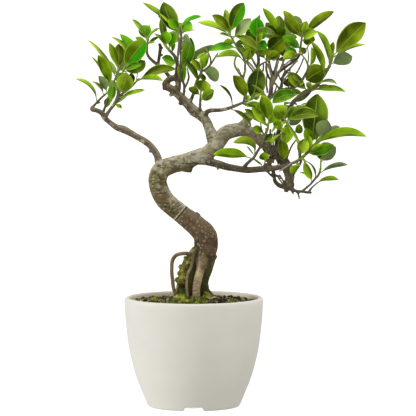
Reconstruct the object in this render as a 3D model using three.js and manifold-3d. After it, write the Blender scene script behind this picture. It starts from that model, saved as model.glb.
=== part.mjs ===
// Ficus bonsai in a round tapered pot, for a shelf, desk or window sill.
// All lengths are in millimetres, +Z is up and the front looks along +Y.

import * as THREE from 'three';
import Module from 'manifold-3d';

const wasm = await Module();
wasm.setup();

// Pot
const POT_HEIGHT = 134;
const POT_SIDES = 30;
const WALL = 6.6;
const FLOOR_TOP = 9;
const FOOT_DEPTH = 3.2;
const FOOT_WIDTH = 8;
const NOTCH_HEIGHT = 5.6;
const NOTCH_FOOT_WIDTH = 27;
const NOTCH_TOP_WIDTH = 20;
const NOTCH_CORNER = 1.6;
const NOTCH_ANGLES = [-90, 30, 150];
const DRAIN_RADIUS = 6;
const DRAIN_RING = 24;
const DRAIN_START = 0.5;
const POT_OUTLINE = [
  [54.4, 0], [57.7, 3], [60.4, 9.8], [64.2, 19.4], [68.2, 29], [71.6, 39], [75.8, 54.5], [79.6, 72.5],
  [82.6, 95], [84.3, 116], [85, 131],
];
const POT_INNER = POT_OUTLINE.filter(([, z], i) => z > 18 && i % 2 === 0).map(([r, z]) => [r - WALL, z]);

// Soil
const SOIL_GAP = 0.3;
const SOIL_LEVEL = 127.2;
const SOIL_SIDES = 28;
const SOIL_RINGS = [10, 24, 40, 57, 70];
const SOIL_SIDE_LEVELS = [SOIL_LEVEL - 1.5, 95, 54.5, 29];
const SOIL_FOOT = [[46, FLOOR_TOP + SOIL_GAP + 2.6], [38, FLOOR_TOP + SOIL_GAP]];
const SOIL_MOUNDS = [
  [4, -2, 30, 5.2], [-25, -6, 9, 3.4], [-15, -12, 7, 4.2], [18, -10, 8, 4.6], [30, -6, 7, 2.2],
  [40, 30, 15, 2.4], [-48, 20, 16, 2.2], [-40, -34, 14, 1.8], [46, -26, 12, 1.8], [8, 46, 16, 2.4],
];
const ROOT_CLEARANCE = 0.4;

// Grown wood and leaves
const EYE = [17.4, -5000, 640];
const END_ROUNDING = 0.45;
const WOOD_SEAT = 0.35;
const BLADE_THICKNESS = 0.8;
const PETIOLE = 0.75;
const STALK_END = 0.15;
const BLADE_START = [0.27, 0.34];
const BLADE_ROWS = [[0.42, 0.47], [0.74, 0.41]];
const SMALL_LEAF = 26;
const SMALL_BLADE_ROWS = [[0.55, 0.5]];
const FOLD = 0.3;
const CLEAR = 0.35;
const END_ON = 0.3;
const LEVEL = 0.05;
const TURNS = [
  [0, 0], [-5, 8], [5, -8], [-10, 14], [10, -14], [-15, 20], [15, -20], [-21, -26], [21, 26],
  [-28, 10], [28, -10],
];

// Finishes
const PALETTE = {
  pot: { color: 0xe6e4de, roughness: 0.55 },
  soil: { color: 0x3a2f20, roughness: 0.95 },
  wood: { color: 0x746a52, roughness: 0.85 },
};
const LEAF_ROUGHNESS = 0.4;
const LEAF_TONES = [0x4a6408, 0x5f8a0c, 0x94b626, 0x2c9412, 0x66744e, 0x2f4a18];

// Grown wood, each route as [across, height, depth, radius] read from the front view
const WOOD = [
  ["trunk", [
    [14, 184, 0, 13], [14, 190, 0, 14.4], [15, 200, 0, 14.8], [13, 211, -1, 14.3], [2, 222.5, -3, 12.8],
    [-16.5, 237, -5, 11.6], [-35.5, 254, -6, 11.6], [-44, 274, -5, 11.3], [-40, 289, -4, 11.4],
    [-26, 296, -3, 10.4], [-10, 300, -4, 10.4], [4, 306, -6, 9.4], [17, 311, -9, 9], [28, 321, -12, 9.2],
    [40, 334, -14, 8.8], [57.8, 339, -17, 8], [70.8, 334.5, -19, 7.2], [82.4, 325, -22, 6.6],
    [92, 316, -24, 6.3], [103, 307.5, -26, 6.3], [111.4, 298, -28, 6.6], [116, 287, -28, 6.5],
    [117, 279, -27, 5.8], [116, 270.5, -26, 5]]],
  ["front_root", [
    [12, 192, -4, 10], [10.5, 182, -8, 7.2], [8.5, 170, -10, 5.7], [6, 160, -11, 5.4], [4, 151, -11, 5.4],
    [3, 142, -11, 5.7], [3, 131, -12, 6.6], [3, 116, -13, 6.4]]],
  ["right_root", [
    [18, 190, 3, 9.5], [19.5, 179, 5, 6.8], [17, 166, 6, 5.7], [15, 156, 6, 5.3], [14.5, 149, 6, 5.5],
    [17, 141, 6, 6], [21, 133, 5, 7], [27, 124, 6, 6.4], [32, 117, 7, 5]]],
  ["thin_root", [
    [2, 192, -9, 2.2], [-1, 181, -10.5, 1.6], [-4, 170, -10, 1.5], [-7.5, 162, -9.5, 1.5],
    [-8.6, 150, -9.5, 1.5], [-8, 139, -9.5, 1.6], [-7, 126, -10, 2], [-7, 118, -10, 2]]],
  ["mossy_root", [
    [0, 192, 0, 8], [-5, 183, 0, 6.4], [-9, 174, 0, 6.3], [-12, 164, 0, 6.3], [-13.5, 154, 0, 6.4],
    [-14.5, 144, 0, 6.8], [-15, 134, 0, 7.8], [-16, 122, 0, 8], [-16, 115, 0, 7]]],
  ["back_root", [
    [10, 190, 6, 9], [8, 174, 12, 6.4], [6, 158, 15, 5.6], [4, 145, 17, 6], [1, 132, 21, 7],
    [-1, 117, 25, 6]]],
  ["loop_root", [
    [-2, 186, -3, 3], [-9, 187.6, -7, 2.2], [-16, 187.2, -9, 2.1], [-22, 185, -10, 2.1],
    [-26, 179, -10, 2.1], [-27, 168, -9, 2], [-26, 155, -9, 2], [-24.5, 144, -8, 2.1], [-21, 135, -8, 2.3],
    [-20, 124, -8, 2.4], [-20, 118, -8, 2.4]]],
  ["fork_knob", [[-8, 298, -6, 7], [-2, 291.5, -8, 3.2]]],
  ["left_limb", [
    [-38, 288, -3, 8], [-42, 298, 2, 5.4], [-44, 306, 4, 4.5], [-46.8, 311.5, 5, 4.4], [-52, 318.5, 7, 4.2],
    [-59, 324.5, 9, 4.1], [-71, 331.5, 12, 3.9], [-79, 336, 14, 4.2], [-86, 339.6, 16, 4.7],
    [-94, 342, 18, 3.8], [-101, 347, 19, 3.2], [-108.5, 353.5, 21, 3.3], [-110, 357.5, 22, 3.6]]],
  ["left_spur", [[-49, 315, 6, 2.6], [-54.5, 311.6, 5, 1.3]]],
  ["left_arm", [
    [-109, 356, 21, 3.4], [-114, 360.8, 22, 3.1], [-119, 362.8, 22, 2.9], [-123.6, 363.8, 22.5, 2.8],
    [-124, 366, 23, 2.2], [-121, 369, 24, 1.7]]],
  ["up_limb", [
    [29, 322, -11, 8.4], [26, 332, -6, 8.2], [23.5, 339, -1, 7.8], [17.5, 351, 5, 7.4],
    [9.5, 358.5, 10, 6.8], [0, 364, 14, 6.2], [-8, 371, 16, 5.7], [-17, 380, 18, 5.2],
    [-25, 387.5, 18, 4.9], [-31.5, 391, 18, 4.6], [-34.5, 394.5, 18, 4.2], [-31, 399.5, 19, 3.9],
    [-25, 402, 19, 3.9], [-20, 400.5, 19, 3.7], [-18.8, 395, 19, 3.6], [-19.4, 388, 18, 3.8]]],
  ["limb_stub", [[2, 362, 12, 5], [-4.5, 358.8, 8, 3]]],
  ["spur_low", [[-13, 376, 17, 3.4], [-17.5, 369.5, 16, 2.2]]],
  ["spur_mid", [[-22, 385, 18, 3.2], [-29.5, 380.6, 17, 1.9]]],
  ["spur_side", [[-30, 390, 18, 3], [-38, 389, 18, 1.9]]],
  ["crown_stem_a", [
    [-28, 401, 19, 2.8], [-33, 408, 20, 2.3], [-38, 413, 21, 2.1], [-43, 417.5, 22, 2],
    [-42.3, 426, 22, 1.8], [-41, 435, 22, 1.6], [-41, 440, 22, 1.5], [-43, 445, 22, 1.2]]],
  ["crown_spur_a", [[-42, 429, 22, 1.4], [-37, 430.6, 21, 1.1]]],
  ["crown_spur_b", [[-41, 436, 22, 1.4], [-37.3, 439.6, 21, 1.1]]],
  ["crown_stem_b", [[-21, 401, 19, 2.8], [-20.5, 411, 17, 2.5], [-20, 421, 15, 2.2]]],
  ["side_stem", [
    [-6, 370, 15, 2.8], [-1, 381, 13, 2.1], [1.5, 390, 9, 1.9], [2.8, 396, 6, 1.8], [5.8, 402, 3, 1.8],
    [9, 408, 0, 1.8]]],
  ["low_stem", [[9, 357, 10, 3], [7.6, 366, 6, 1.9]]],
  ["across_stem", [
    [13, 356, 6, 4.4], [16, 360.5, 4, 3.2], [21, 362.6, 1, 2.7], [31.3, 363, -4, 2.4],
    [42, 365, -12, 2.2]]],
  ["grey_limb", [
    [54, 339, -16, 6.4], [61, 346.5, -6, 5.2], [68, 354, 4, 4.2], [77, 363, 14, 3.6], [86, 371.5, 21, 3.3],
    [92.6, 379.5, 25, 3], [94.3, 389, 28, 2.7], [94.3, 398, 30, 2.4], [96.5, 405, 31, 2.2]]],
  ["grey_fork", [
    [91, 376, 24, 2.6], [98, 382, 20, 2.1], [105, 388, 16, 2], [107.8, 398, 14, 1.8], [110.5, 408, 12, 1.6],
    [117, 413.5, 9, 1.3]]],
  ["fork_arm", [[103, 386, 17, 1.8], [112, 389.2, 10, 1.6]]],
  ["long_twig", [[96, 403, 31, 2], [106, 411, 28, 1.8], [114, 417, 25, 1.6]]],
  ["tall_twig", [[96, 402, 30, 2.1], [99, 412, 33, 2]]],
  ["inner_twig", [[85, 370, 20, 2.4], [84, 385, 19, 2.2], [81, 399, 16, 2.1]]],
  ["link_twig", [[95.5, 399, 30, 1.5], [100, 394.5, 25, 1.3], [104.5, 389, 17, 1.4]]],
  ["lower_limb", [
    [4, 303, -7, 7], [14, 301, -9, 5.4], [25, 298.3, -10, 4.8], [32, 296.4, -11, 4.8],
    [40, 293.8, -12, 4.5], [53.4, 291.4, -14, 4.1], [66.4, 289.8, -17, 3.9], [80, 290.8, -22, 3.8],
    [91, 291.6, -29, 3.7], [101, 292.4, -38, 3.3], [110, 294.4, -43, 2.5], [117, 297.4, -45, 2],
    [124, 300.6, -46, 1.8], [130, 305, -47, 1.7], [137, 310, -49, 1.7]]],
  ["lower_spur", [[30, 296, -11, 2.6], [29, 289.8, -12, 1]]],
  ["lower_bump", [[66.5, 291, -17, 3.4], [66, 286.6, -18, 1.8]]],
  ["lower_side", [[60, 291, -16, 3], [64.5, 297, -22, 2.2], [70, 302, -31, 1.9]]],
  ["bottom_loop", [
    [96.5, 292, -31, 2.6], [98, 283, -26, 2.2], [99.3, 276, -24, 2.5], [105, 270.8, -25, 2.9],
    [113, 269, -26, 3.2]]],
  ["bottom_stub", [[114, 271, -26, 3.4], [112.6, 262.6, -27, 2.6]]],
  ["knob_a", [[117, 281, -27, 4], [122, 282, -29, 2.8]]],
  ["knob_b", [[117, 272, -26, 4], [122.2, 271.2, -28, 3]]],
  ["bottom_twig", [
    [116, 270, -26, 3.2], [121, 266, -28, 2.3], [126, 263.8, -31, 1.9], [133, 263.4, -34, 1.8],
    [139, 262.3, -37, 1.7], [144, 262.3, -39, 1.5]]],
  ["twig_down_a", [[126, 264, -31, 1.5], [128, 259, -32, 1.2], [129, 254.2, -33, 1.1]]],
  ["twig_down_b", [[116, 269, -26, 2], [119.5, 264, -27, 1.2], [122, 259.8, -28, 1.1]]],
  ["thin_twig_a", [[113, 271, -26, 1.6], [108.5, 277.5, -27, 1.2], [104.5, 284.5, -28, 1]]],
  ["thin_twig_b", [
    [119, 282, -28, 2.4], [125, 290, -32, 1.8], [129.5, 297, -37, 1.6], [131.5, 302, -40, 1.4]]],
  ["thin_twig_c", [[88, 291, -27, 1.7], [92, 285.4, -29, 1.3], [98, 280, -30, 1.1]]],
  ["thin_twig_d", [[96, 311, -26, 2], [92, 305.5, -35, 1.3], [84, 316, -38, 1.1]]],
  ["thin_twig_e", [[111, 300, -30, 2.6], [116, 311, -37, 1.3], [120, 320, -40, 1.2], [126, 328, -42, 1]]],
  ["right_twig", [
    [103, 308, -25, 3.8], [101.5, 320, -21, 3.1], [102.5, 333, -17, 2.8], [107, 347, -14, 2.6],
    [113, 360, -12, 2.4], [119, 369.5, -10, 2.3]]],
  ["back_stem_left", [[-107, 356, 22, 2.6], [-101.5, 364.5, 34, 1.8], [-96.5, 371.5, 46, 1.6]]],
  ["back_stem_top", [[-23, 402, 20, 2.6], [-20.6, 411, 33, 1.9], [-20, 420, 46, 1.6]]],
  ["back_stem_right", [[93, 380, 26, 2.8], [95, 391, 42, 2.1], [97, 403, 56, 1.7]]],
  ["back_stem_low", [[102, 330, -17, 2.6], [104, 338, -2, 2], [108, 347, 14, 1.8], [113, 356, 28, 1.6]]],
];

// Leafy stems: name, stem routes as above, then leaves as
// [stem, place along it, tip across, tip height, depth to tip, width, roll, bend, sweep, tone]
const SPRAYS = [
  ["left_arm_leaves",
   [[[-121, 369, 24, 1.5], [-117, 373.5, 25, 1.4], [-111, 379.5, 26, 1.3], [-105.5, 384, 27, 1.1]]],
   [[0, 0.15, -143.3, 401.7, -8, 12, 78, 5, 0, 1], [0, 0.6, -124.2, 397.4, 10, 12, 74, 4, 0, 1],
    [0, 1, -116, 405, -14, 13, 40, 0, 0, 0], [0, 0.1, -113.8, 373, 8, 4, 40, 0, 0, 1]]],
  ["left_mid_leaves",
   [[[-111, 358.5, 25, 1.7], [-108, 367, 25.5, 1.5], [-104.5, 376, 22, 1.5], [-102.5, 384, 17, 1.4],
     [-99, 393, 12, 1.3], [-95, 403, 9, 1.2], [-92, 412, 7, 1]]],
   [[0, 0.64, -115, 430.5, -12, 15, 18, 0, 0, 2], [0, 0.84, -127.8, 447.4, 10, 12, 76, 4, 0, 1],
    [0, 0.6, -124.8, 428.5, 16, 11, 70, 3, 0, 1], [0, 1, -103, 445, -8, 10, 30, 0, 0, 1],
    [0, 0.95, -92.4, 445, 16, 13, 10, 0, 0, 0], [0, 0.36, -93.5, 403, -16, 12, 20, 0, 0, 0]]],
  ["left_inner_leaves",
   [[[-107, 355.5, 17.5, 2], [-101, 364.6, 12, 1.8], [-96, 371, 11, 1.8], [-92, 377, 10, 1.7],
     [-87, 383, 8, 1.6], [-80, 388, 5, 1.5], [-75.5, 392, 3, 1.4], [-70, 398, 0, 1.1]],
    [[-91.5, 378, 10, 1.5], [-91, 391, 6, 1.4], [-88.5, 402, 4, 1.3], [-86, 411, 2, 1.1]]],
   [[1, 1, -60, 448.5, 12, 21, 14, 0, 0, 1], [1, 0.93, -60.5, 424.4, -6, 14, 124, 2, 0, 4],
    [1, 0.97, -63, 417.4, -16, 9, 60, 2, 0, 2], [1, 0.12, -82.5, 409.5, -15, 18, 0, 0, 0, 2],
    [1, 0.96, -89, 457, 22, 13, -10, 0, 0, 2], [1, 0.99, -100.7, 452.3, 4, 10, 78, 5, 0, 1],
    [0, 0.45, -59.4, 387.4, -20, 12, 78, 5, 0, 2], [0, 1, -22, 413, -14, 12, 76, 7, 0, 1],
    [0, 0.97, -37.4, 398.5, -24, 12, 76, 7, 0, 2], [0, 0.3, -88, 364.8, -10, 7, 30, 0, 0, 2],
    [0, 0.28, -99.4, 367.6, -16, 4, 20, 0, 0, 2]]],
  ["left_top_leaves",
   [[[-43, 418, 22, 1.7], [-50, 423, 24, 1.5], [-56, 430, 26, 1.3], [-57, 438, 27, 1.2],
     [-56, 447.5, 28, 1.1]]],
   [[0, 1, -64, 468.5, 12, 16, 5, 0, 0, 1], [0, 0.97, -74.6, 473.6, 24, 10, 74, 3, 0, 1],
    [0, 1, -54, 467.5, 0, 5, 30, 0, 0, 2], [0, 0.98, -41.5, 462.5, -6, 7, 66, 1, 0, 2],
    [0, 0.9, -47, 446, -12, 5, 40, 0, 0, 1]]],
  ["crown_left_leaves",
   [[[-20, 421, 15, 1.9], [-22.5, 429, 13, 1.5], [-27, 434.5, 12, 1.3], [-30, 439, 11, 1.1]]],
   [[0, 0.97, -50, 458.5, 12, 10, 74, 3, 0, 1], [0, 1, -34.2, 460.8, 16, 14, 0, 0, 0, 1],
    [0, 0.9, -21.6, 458, 10, 10, 10, 0, 0, 0], [0, 0.2, -38.5, 427, -16, 9, 30, 0, 0, 2]]],
  ["crown_mid_leaves",
   [[[-11, 373, 16, 2.4], [-12.5, 379, 16, 1.7], [-11.5, 388, 15, 1.5], [-12, 395, 14, 1.5],
     [-15, 400, 12, 1.5], [-16, 406, 10, 1.4], [-15.5, 425, 7, 1.4], [-16.4, 443, 3, 1.4],
     [-15, 450, 1, 1.4], [-16, 457, 0, 1.4], [-17, 464, -1, 1]],
    [[-11.5, 389, 15, 1.3], [-7.5, 397, 10, 1.2], [-6, 403.5, 8, 1.2], [-7, 410, 7, 0.9]]],
   [[0, 0.9, -62.8, 494.6, 4, 14, 66, 1, 0, 1], [0, 0.93, -35, 495.7, 14, 21, 10, 0, 0, 0],
    [0, 0.95, -28, 477, -16, 11, 20, 0, 0, 3], [0, 0.92, -6, 474, 14, 15, 0, 0, 0, 2],
    [0, 1, 9.1, 477, -4, 11, 74, 3, 0, 3], [0, 0.9, 2.5, 460.5, 22, 8, 78, 1, 0, 4],
    [0, 0.84, -3.5, 452, -12, 12, 140, 0, 0, 4], [0, 0.62, -3.5, 451, -18, 12, -10, 0, 0, 2],
    [0, 0.62, 5, 399, -18, 10, 60, 4, 0, 0], [0, 0.6, 26, 442, -12, 14, 142, 1, 0, 4]]],
  ["crown_side_leaves",
   [[[9, 408, 0, 1.7], [9.8, 412, -2, 1.6], [9.6, 417, -4, 1.4]],
    [[9.3, 410, -1, 1.4], [14, 412.6, -4, 1.4], [20, 418, -7, 1.3], [26.6, 428, -10, 1.1]],
    [[20.5, 418.6, -7, 1.1], [20.5, 426, -7, 1], [17, 434, -8, 0.9]]],
   [[0, 1, 19, 428, -14, 10, 30, 0, 0, 2], [2, 1, 3, 424, -14, 9, 40, 2, 0, 2],
    [0, 0.3, 30.5, 404, -16, 15, 150, 1, 0, 4]]],
  ["crown_low_leaves",
   [[[7.6, 365, 6.5, 1.7], [8, 375, 2, 1.5], [8.5, 383.5, 0, 1.1]]],
   [[0, 1, 11, 402.5, 8, 19, 0, 0, 0, 2], [0, 0.8, -6, 390.5, 10, 10, 30, 0, 0, 0],
    [0, 0.65, 25, 389.5, -10, 14, 24, 0, 0, 1]]],
  ["middle_leaves",
   [[[62.1, 408.5, -20, 1.3], [62.4, 415, -21, 1.3], [62.4, 422, -22, 1.3], [59.3, 430, -23, 1.4],
     [54, 438, -24, 1.4], [49, 446, -25, 1.4], [44.5, 454.5, -26, 1.2]],
    [[61.2, 374.5, -24.2, 1.5], [62.2, 382, -22, 1.4], [62.6, 392, -20, 1.4], [59.8, 402, -18, 1.4],
     [55, 408.5, -17, 1.3], [50.8, 415.5, -15, 1.3], [49.6, 420.5, -14, 1.2], [50.8, 426, -13, 1.1]],
    [[59.8, 401, -18, 1.4], [62.1, 409, -20, 1.3]],
    [[57.8, 404, -17.5, 1.4], [55.8, 409.4, -19, 1.2]]],
   [[0, 1, 60.5, 494.5, 10, 20, -14, 0, 0, 3], [0, 0.97, 38.5, 486, 16, 10, 50, 0, 0, 2],
    [0, 0.95, 22, 478.5, -12, 14, 30, 1, 0, 0], [0, 0.98, 4, 470, 6, 11, 74, 4, 0, 2],
    [0, 0.93, 31, 456, -14, 6, 66, 1, 0, 1], [0, 0.9, 70, 474.5, -20, 14, 150, 0, 0, 4],
    [0, 0.95, 78, 436, -18, 13, 58, 8, 0, 1], [0, 0.66, 18.5, 435, -22, 13, 56, 6, 0, 1],
    [0, 0.3, 28, 427, -14, 11, 74, 9, 0, 2], [0, 0.36, 66.8, 436, -12, 9, 16, 0, 0, 2]]],
  ["middle_back_leaves",
   [[[81, 399, 16, 1.9], [79, 410, 13, 1.9], [78.6, 418, 11, 1.9], [79, 425, 10, 2], [78, 432, 9, 1.8],
     [77, 440, 8, 1.6], [77, 448, 8, 1.2]],
    [[79, 411, 13, 1.4], [75.5, 417.5, 8, 1.4], [72, 424, 5, 1.3]],
    [[78.8, 416, 11, 1.2], [84, 420, 10, 1], [89, 422.5, 10, 0.8]],
    [[80.5, 401, 15.6, 1.3], [74, 408.5, 10, 1.2], [68, 416, 4, 1.1], [64.5, 421, 1, 1]]],
   [[0, 1, 80.5, 479, 4, 13, 40, 3, 0, 1], [0, 0.97, 76.5, 475, 16, 17, -20, 0, 0, 3],
    [0, 0.98, 91, 460, -10, 10, 34, 0, 0, 3], [0, 0.88, 84, 458, -12, 8, 40, 0, 0, 2],
    [0, 0.7, 58, 444, -4, 12, 46, 3, 0, 0], [0, 0.92, 62, 455, 16, 8, 74, 1, 0, 0],
    [0, 0.3, 68, 379, -18, 23, 0, 0, 0, 5], [1, 1, 60.5, 441.5, -12, 9, 50, 1, 0, 1],
    [3, 0.9, 70, 443, 2, 13, 20, 0, 0, 0], [2, 0.9, 104, 434, 4, 12, 30, 1, 0, 0]]],
  ["upper_right_leaves",
   [[[99, 411, 33, 1.9], [102, 422, 35, 1.9], [103, 432, 37, 1.9], [103.4, 441, 38, 1.7],
     [104.5, 451, 39, 1.3]]],
   [[0, 1, 83, 487.5, 10, 18, 22, 0, 0, 1], [0, 0.97, 85.5, 464, -10, 12, 56, 2, 0, 1],
    [0, 0.92, 76, 461, -22, 7, 76, 5, 0, 2], [0, 0.95, 87, 452, 14, 11, 130, 0, 0, 4],
    [0, 1, 104, 478, 20, 12, 50, 0, 0, 1], [0, 0.8, 120.5, 441, -12, 10, 44, 2, 0, 0]]],
  ["upper_inner_leaves",
   [[[96.5, 405.5, 31, 1.5], [93.5, 414, 28, 1.5], [92, 421, 26, 1.4], [89.5, 430, 24, 1.3],
     [88, 436, 22, 1]]],
   [[0, 0.88, 109, 451.5, -20, 22, 0, 0, 0, 0], [0, 0.75, 98.5, 433, -14, 9, 10, 0, 0, 2]]],
  ["upper_side_leaves",
   [[[94.3, 399, 31, 1.5], [91, 404, 34, 1.4], [88.5, 412, 35, 1.3], [88.5, 421, 35, 1.2],
     [89, 431, 36, 1]]],
   [[0, 1, 81.5, 433, 10, 6, 20, 0, 0, 1], [0, 0.8, 72, 446, 18, 14, 30, 1, 0, 0]]],
  ["right_top_leaves",
   [[[114, 417, 25, 1.5], [121, 422, 22, 1.5], [126.8, 427, 19, 1.5], [129.5, 433, 17, 1.5],
     [130, 440, 16, 1.5], [131, 447, 15, 1.4], [132, 453.5, 14, 1.2]]],
   [[0, 1, 110, 484.5, 14, 17, 26, 0, 0, 0], [0, 0.94, 110.5, 476, -8, 13, 40, 0, 0, 2],
    [0, 0.97, 121.5, 477.5, 24, 12, 150, 0, 0, 4], [0, 1, 137.5, 471.5, 14, 10, 0, 0, 0, 3],
    [0, 0.98, 137, 470, -10, 8, 66, 0, 0, 2], [0, 0.99, 170.5, 483, 4, 15, 44, 4, 0, 1],
    [0, 0.95, 150.5, 458.5, -16, 14, 40, 3, 0, 2], [0, 0.85, 148, 451, -10, 12, 30, 1, 0, 0],
    [0, 0.6, 107, 452.5, -18, 16, 40, 4, 0, 3], [0, 0.48, 109, 425, -20, 12, 50, 2, 0, 2],
    [0, 0.42, 112, 439, -8, 9, 50, 0, 0, 3]]],
  ["right_fork_leaves",
   [[[112, 389.2, 10, 1.6], [120, 389.8, 4, 1.6], [128, 394, -2, 1.6], [132.3, 400, -6, 1.6],
     [135.6, 406, -9, 1.5], [138.6, 412, -12, 1.4], [139, 418, -13, 1.3], [136, 425, -12, 1.1],
     [131.5, 430.5, -10, 1]],
    [[131, 430, -10, 1], [135, 434.5, -12, 0.9], [138.6, 440, -14, 0.8]]],
   [[0, 0.3, 116, 409.5, -10, 15, 10, 0, 0, 1], [0, 0.26, 134.5, 397, -16, 6, 40, 0, 0, 2],
    [0, 0.08, 112, 401, 10, 10, 10, 0, 0, 0], [0, 0.7, 147.5, 436, -8, 9, 36, 2, 0, 1],
    [0, 0.68, 138, 442, 12, 8, 60, 1, 0, 4]]],
  ["right_tip_leaves",
   [[[119, 369.5, -10, 2.2], [125, 376.5, -9, 2.1], [134, 382.2, -7, 2.1], [142, 387, -6, 2],
     [148, 391, -5, 2], [153, 397, -4, 1.9], [157, 403, -3, 1.7], [161, 409, -2, 1.6],
     [164.5, 415, -2, 1.5], [167, 421, -1, 1.4], [169, 428, 0, 1.2]]],
   [[0, 0.62, 143, 447, -14, 13, -20, 0, 5, 1], [0, 0.82, 150, 459.5, -8, 11, 68, 6, 0, 1],
    [0, 0.88, 161.5, 447, 12, 8, 50, 1, 0, 0], [0, 1, 210.5, 469.5, 6, 23, 5, 0, 0, 1],
    [0, 0.97, 208.5, 443, 16, 9, 76, 4, 0, 2], [0, 0.9, 193, 430.5, -14, 17, 166, 0, 0, 4],
    [0, 0.8, 137, 399.5, -16, 22, 10, 0, 0, 1], [0, 0.12, 97, 372, -16, 16, 34, 1, 0, 3],
    [0, 0.28, 185.5, 385.3, -12, 12, 72, 7, 0, 2], [0, 0.48, 175.5, 394, 14, 10, 74, 6, 0, 2],
    [0, 0.22, 148, 394.5, 14, 8, 50, 0, 0, 2]]],
  ["front_fan_leaves",
   [[[69, 301.2, -30, 1.8], [73.6, 305.5, -37, 1.7], [78, 313, -43, 1.6], [82.4, 320, -48, 1.6],
     [86, 330, -53, 1.6], [90, 340, -57, 1.5], [91, 346, -59, 1.2]],
    [[86.3, 331, -53.5, 1.2], [83, 338.5, -57, 1], [81.5, 347, -60, 0.8]]],
   [[0, 1, 79.3, 381.5, -8, 18, -8, 0, 0, 2], [0, 0.97, 70.8, 394, 12, 8, 70, 6, 0, 2],
    [0, 0.93, 70.3, 366, -16, 12, 36, 0, 0, 2], [0, 0.9, 60.5, 360, 8, 12, 140, 1, 0, 4],
    [1, 0.3, 72, 341.8, -8, 10, 30, 0, 0, 1], [1, 1, 80, 372, 12, 11, 0, 0, 0, 0],
    [0, 0.93, 101, 362, 6, 13, 10, 0, 0, 1], [0, 0.2, 64.3, 319, -6, 4, 60, 0, 0, 2],
    [0, 0.18, 48, 323.6, -12, 10, 74, 10, 0, 1], [0, 0.11, 24, 308.6, 22, 15, 60, 2, 0, 1]]],
  ["front_whorl_leaves",
   [[[129.5, 304.5, -47, 1.7], [129, 313, -51, 1.8], [128, 323, -54, 1.8], [122, 335, -57, 1.9],
     [115.5, 344.5, -60, 1.6], [112, 350, -61, 1.2]]],
   [[0, 1, 97, 371, -10, 25, 14, 0, 0, 1], [0, 0.95, 123, 374.5, 12, 18, 0, 0, 0, 0],
    [0, 0.9, 152.5, 356, -16, 14, 62, 8, 0, 1], [0, 0.96, 144, 364.5, 0, 12, 50, 4, 0, 1],
    [0, 0.8, 108, 321.5, -14, 18, 10, 0, 0, 1], [0, 0.08, 134, 327.5, -14, 14, 0, 0, 0, 2],
    [0, 0.98, 95, 334.5, -2, 6, 60, 3, 0, 2], [0, 1, 107.5, 345, -12, 4, 30, 0, 0, 2],
    [0, 0.88, 131.5, 350.5, 14, 13, 150, 0, 0, 0], [0, 0.6, 132, 343.5, 10, 11, -20, 0, 0, 1]]],
  ["front_right_leaves",
   [[[137, 310, -49, 1.7], [142, 315, -51, 1.8], [147, 320, -52, 1.6], [152.5, 327, -53, 1.2]]],
   [[0, 0.4, 151, 383, 16, 30, 0, 0, 0, 0], [0, 0.6, 210.5, 331, -14, 19, 46, 9, 0, 1],
    [0, 1, 163.5, 350.5, 6, 19, 160, 0, 0, 4], [0, 0.95, 178, 343, 18, 12, 140, 0, 0, 4],
    [0, 0.12, 171.5, 321, -14, 14, 52, 2, 0, 0], [0, 0.3, 140.5, 332, -14, 8, 0, 0, 0, 2],
    [0, 0.5, 136, 341.5, -10, 11, 20, 0, 0, 1]]],
  ["front_low_leaves",
   [[[131, 305.6, -47, 1.5], [134, 302.6, -51, 1.4]]],
   [[0, 0.9, 144, 278, -10, 13, -14, 2, 0, 2], [0, 1, 148, 279, 6, 10, 64, 6, 0, 0]]],
  ["front_under_leaves",
   [[[124, 300.3, -46, 1.6], [126.5, 297.6, -50, 1.4]]],
   [[0, 1, 118.8, 285.5, -8, 12, 16, 0, 0, 2]]],
  ["low_right_leaves",
   [[[132.5, 263.8, -34, 1.6], [138, 268.5, -38, 1.4], [143, 273, -42, 1.4], [148, 279, -46, 1.4],
     [152, 283.5, -49, 1.5], [154.5, 290, -52, 1.2], [155, 299, -54, 1]]],
   [[0, 1, 158, 323.5, 6, 15, 0, 0, 0, 0], [0, 0.78, 173, 317.5, -10, 15, 160, 0, 0, 4],
    [0, 0.74, 188.5, 296, 8, 11, 116, -5, 0, 4], [0, 0.36, 129, 287, -14, 7, 74, 5, 0, 1]]],
  ["low_tip_leaves",
   [[[140, 262.6, -37, 1.5], [144.5, 268.5, -34, 1.1], [149, 272.5, -31, 0.9]]],
   [[0, 1, 177.5, 277.5, -6, 10, 62, 5, 0, 1]]],
  ["across_leaves",
   [[[42, 365, -12, 2.1], [53.4, 369.4, -20, 1.8], [60.7, 372.5, -25, 1.6], [66, 374.4, -28, 1.4],
     [72, 377, -32, 1.2], [78, 380, -36, 0.9]]],
   [[0, 0.55, 48, 405.4, -10, 13, 10, 0, 0, 1], [0, 0.5, 68, 381, -14, 7, 20, 0, 0, 2],
    [0, 0.42, 86, 372.5, -16, 11, 60, 1, 0, 1], [0, 0.03, 70, 343, -12, 9, 72, 4, 0, 0],
    [0, 0.1, 31, 394, -8, 5, 70, 5, 0, 1], [0, 0.62, 83.5, 383, 12, 8, 70, 2, 0, 2]]],
  ["inner_low_leaves",
   [[[85, 291.5, -26, 1.8], [86.3, 296.5, -31, 1.2], [87, 300, -34, 0.9]]],
   [[0, 1, 84.4, 311.6, -6, 14, 0, 0, 0, 1], [0, 0.5, 75.5, 303.5, 10, 4, 60, 0, 0, 1]]],
  ["limb_leaves",
   [[[102, 324, -19, 1.9], [105, 330, -27, 1.2], [108, 336, -33, 1]]],
   [[0, 0.7, 110.5, 303, -8, 13, 8, 0, 0, 0], [0, 1, 99, 352, 6, 11, 10, 0, 0, 1],
    [0, 1, 120, 341, 8, 13, 20, 0, 0, 0], [0, 0.9, 92.5, 319, -4, 6, 50, 2, 0, 2]]],
  ["back_left_leaves",
   [[[-96.5, 371.5, 46, 1.5], [-93, 381, 56, 1.4], [-92, 395, 64, 1.3], [-92, 410, 70, 1]]],
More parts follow.
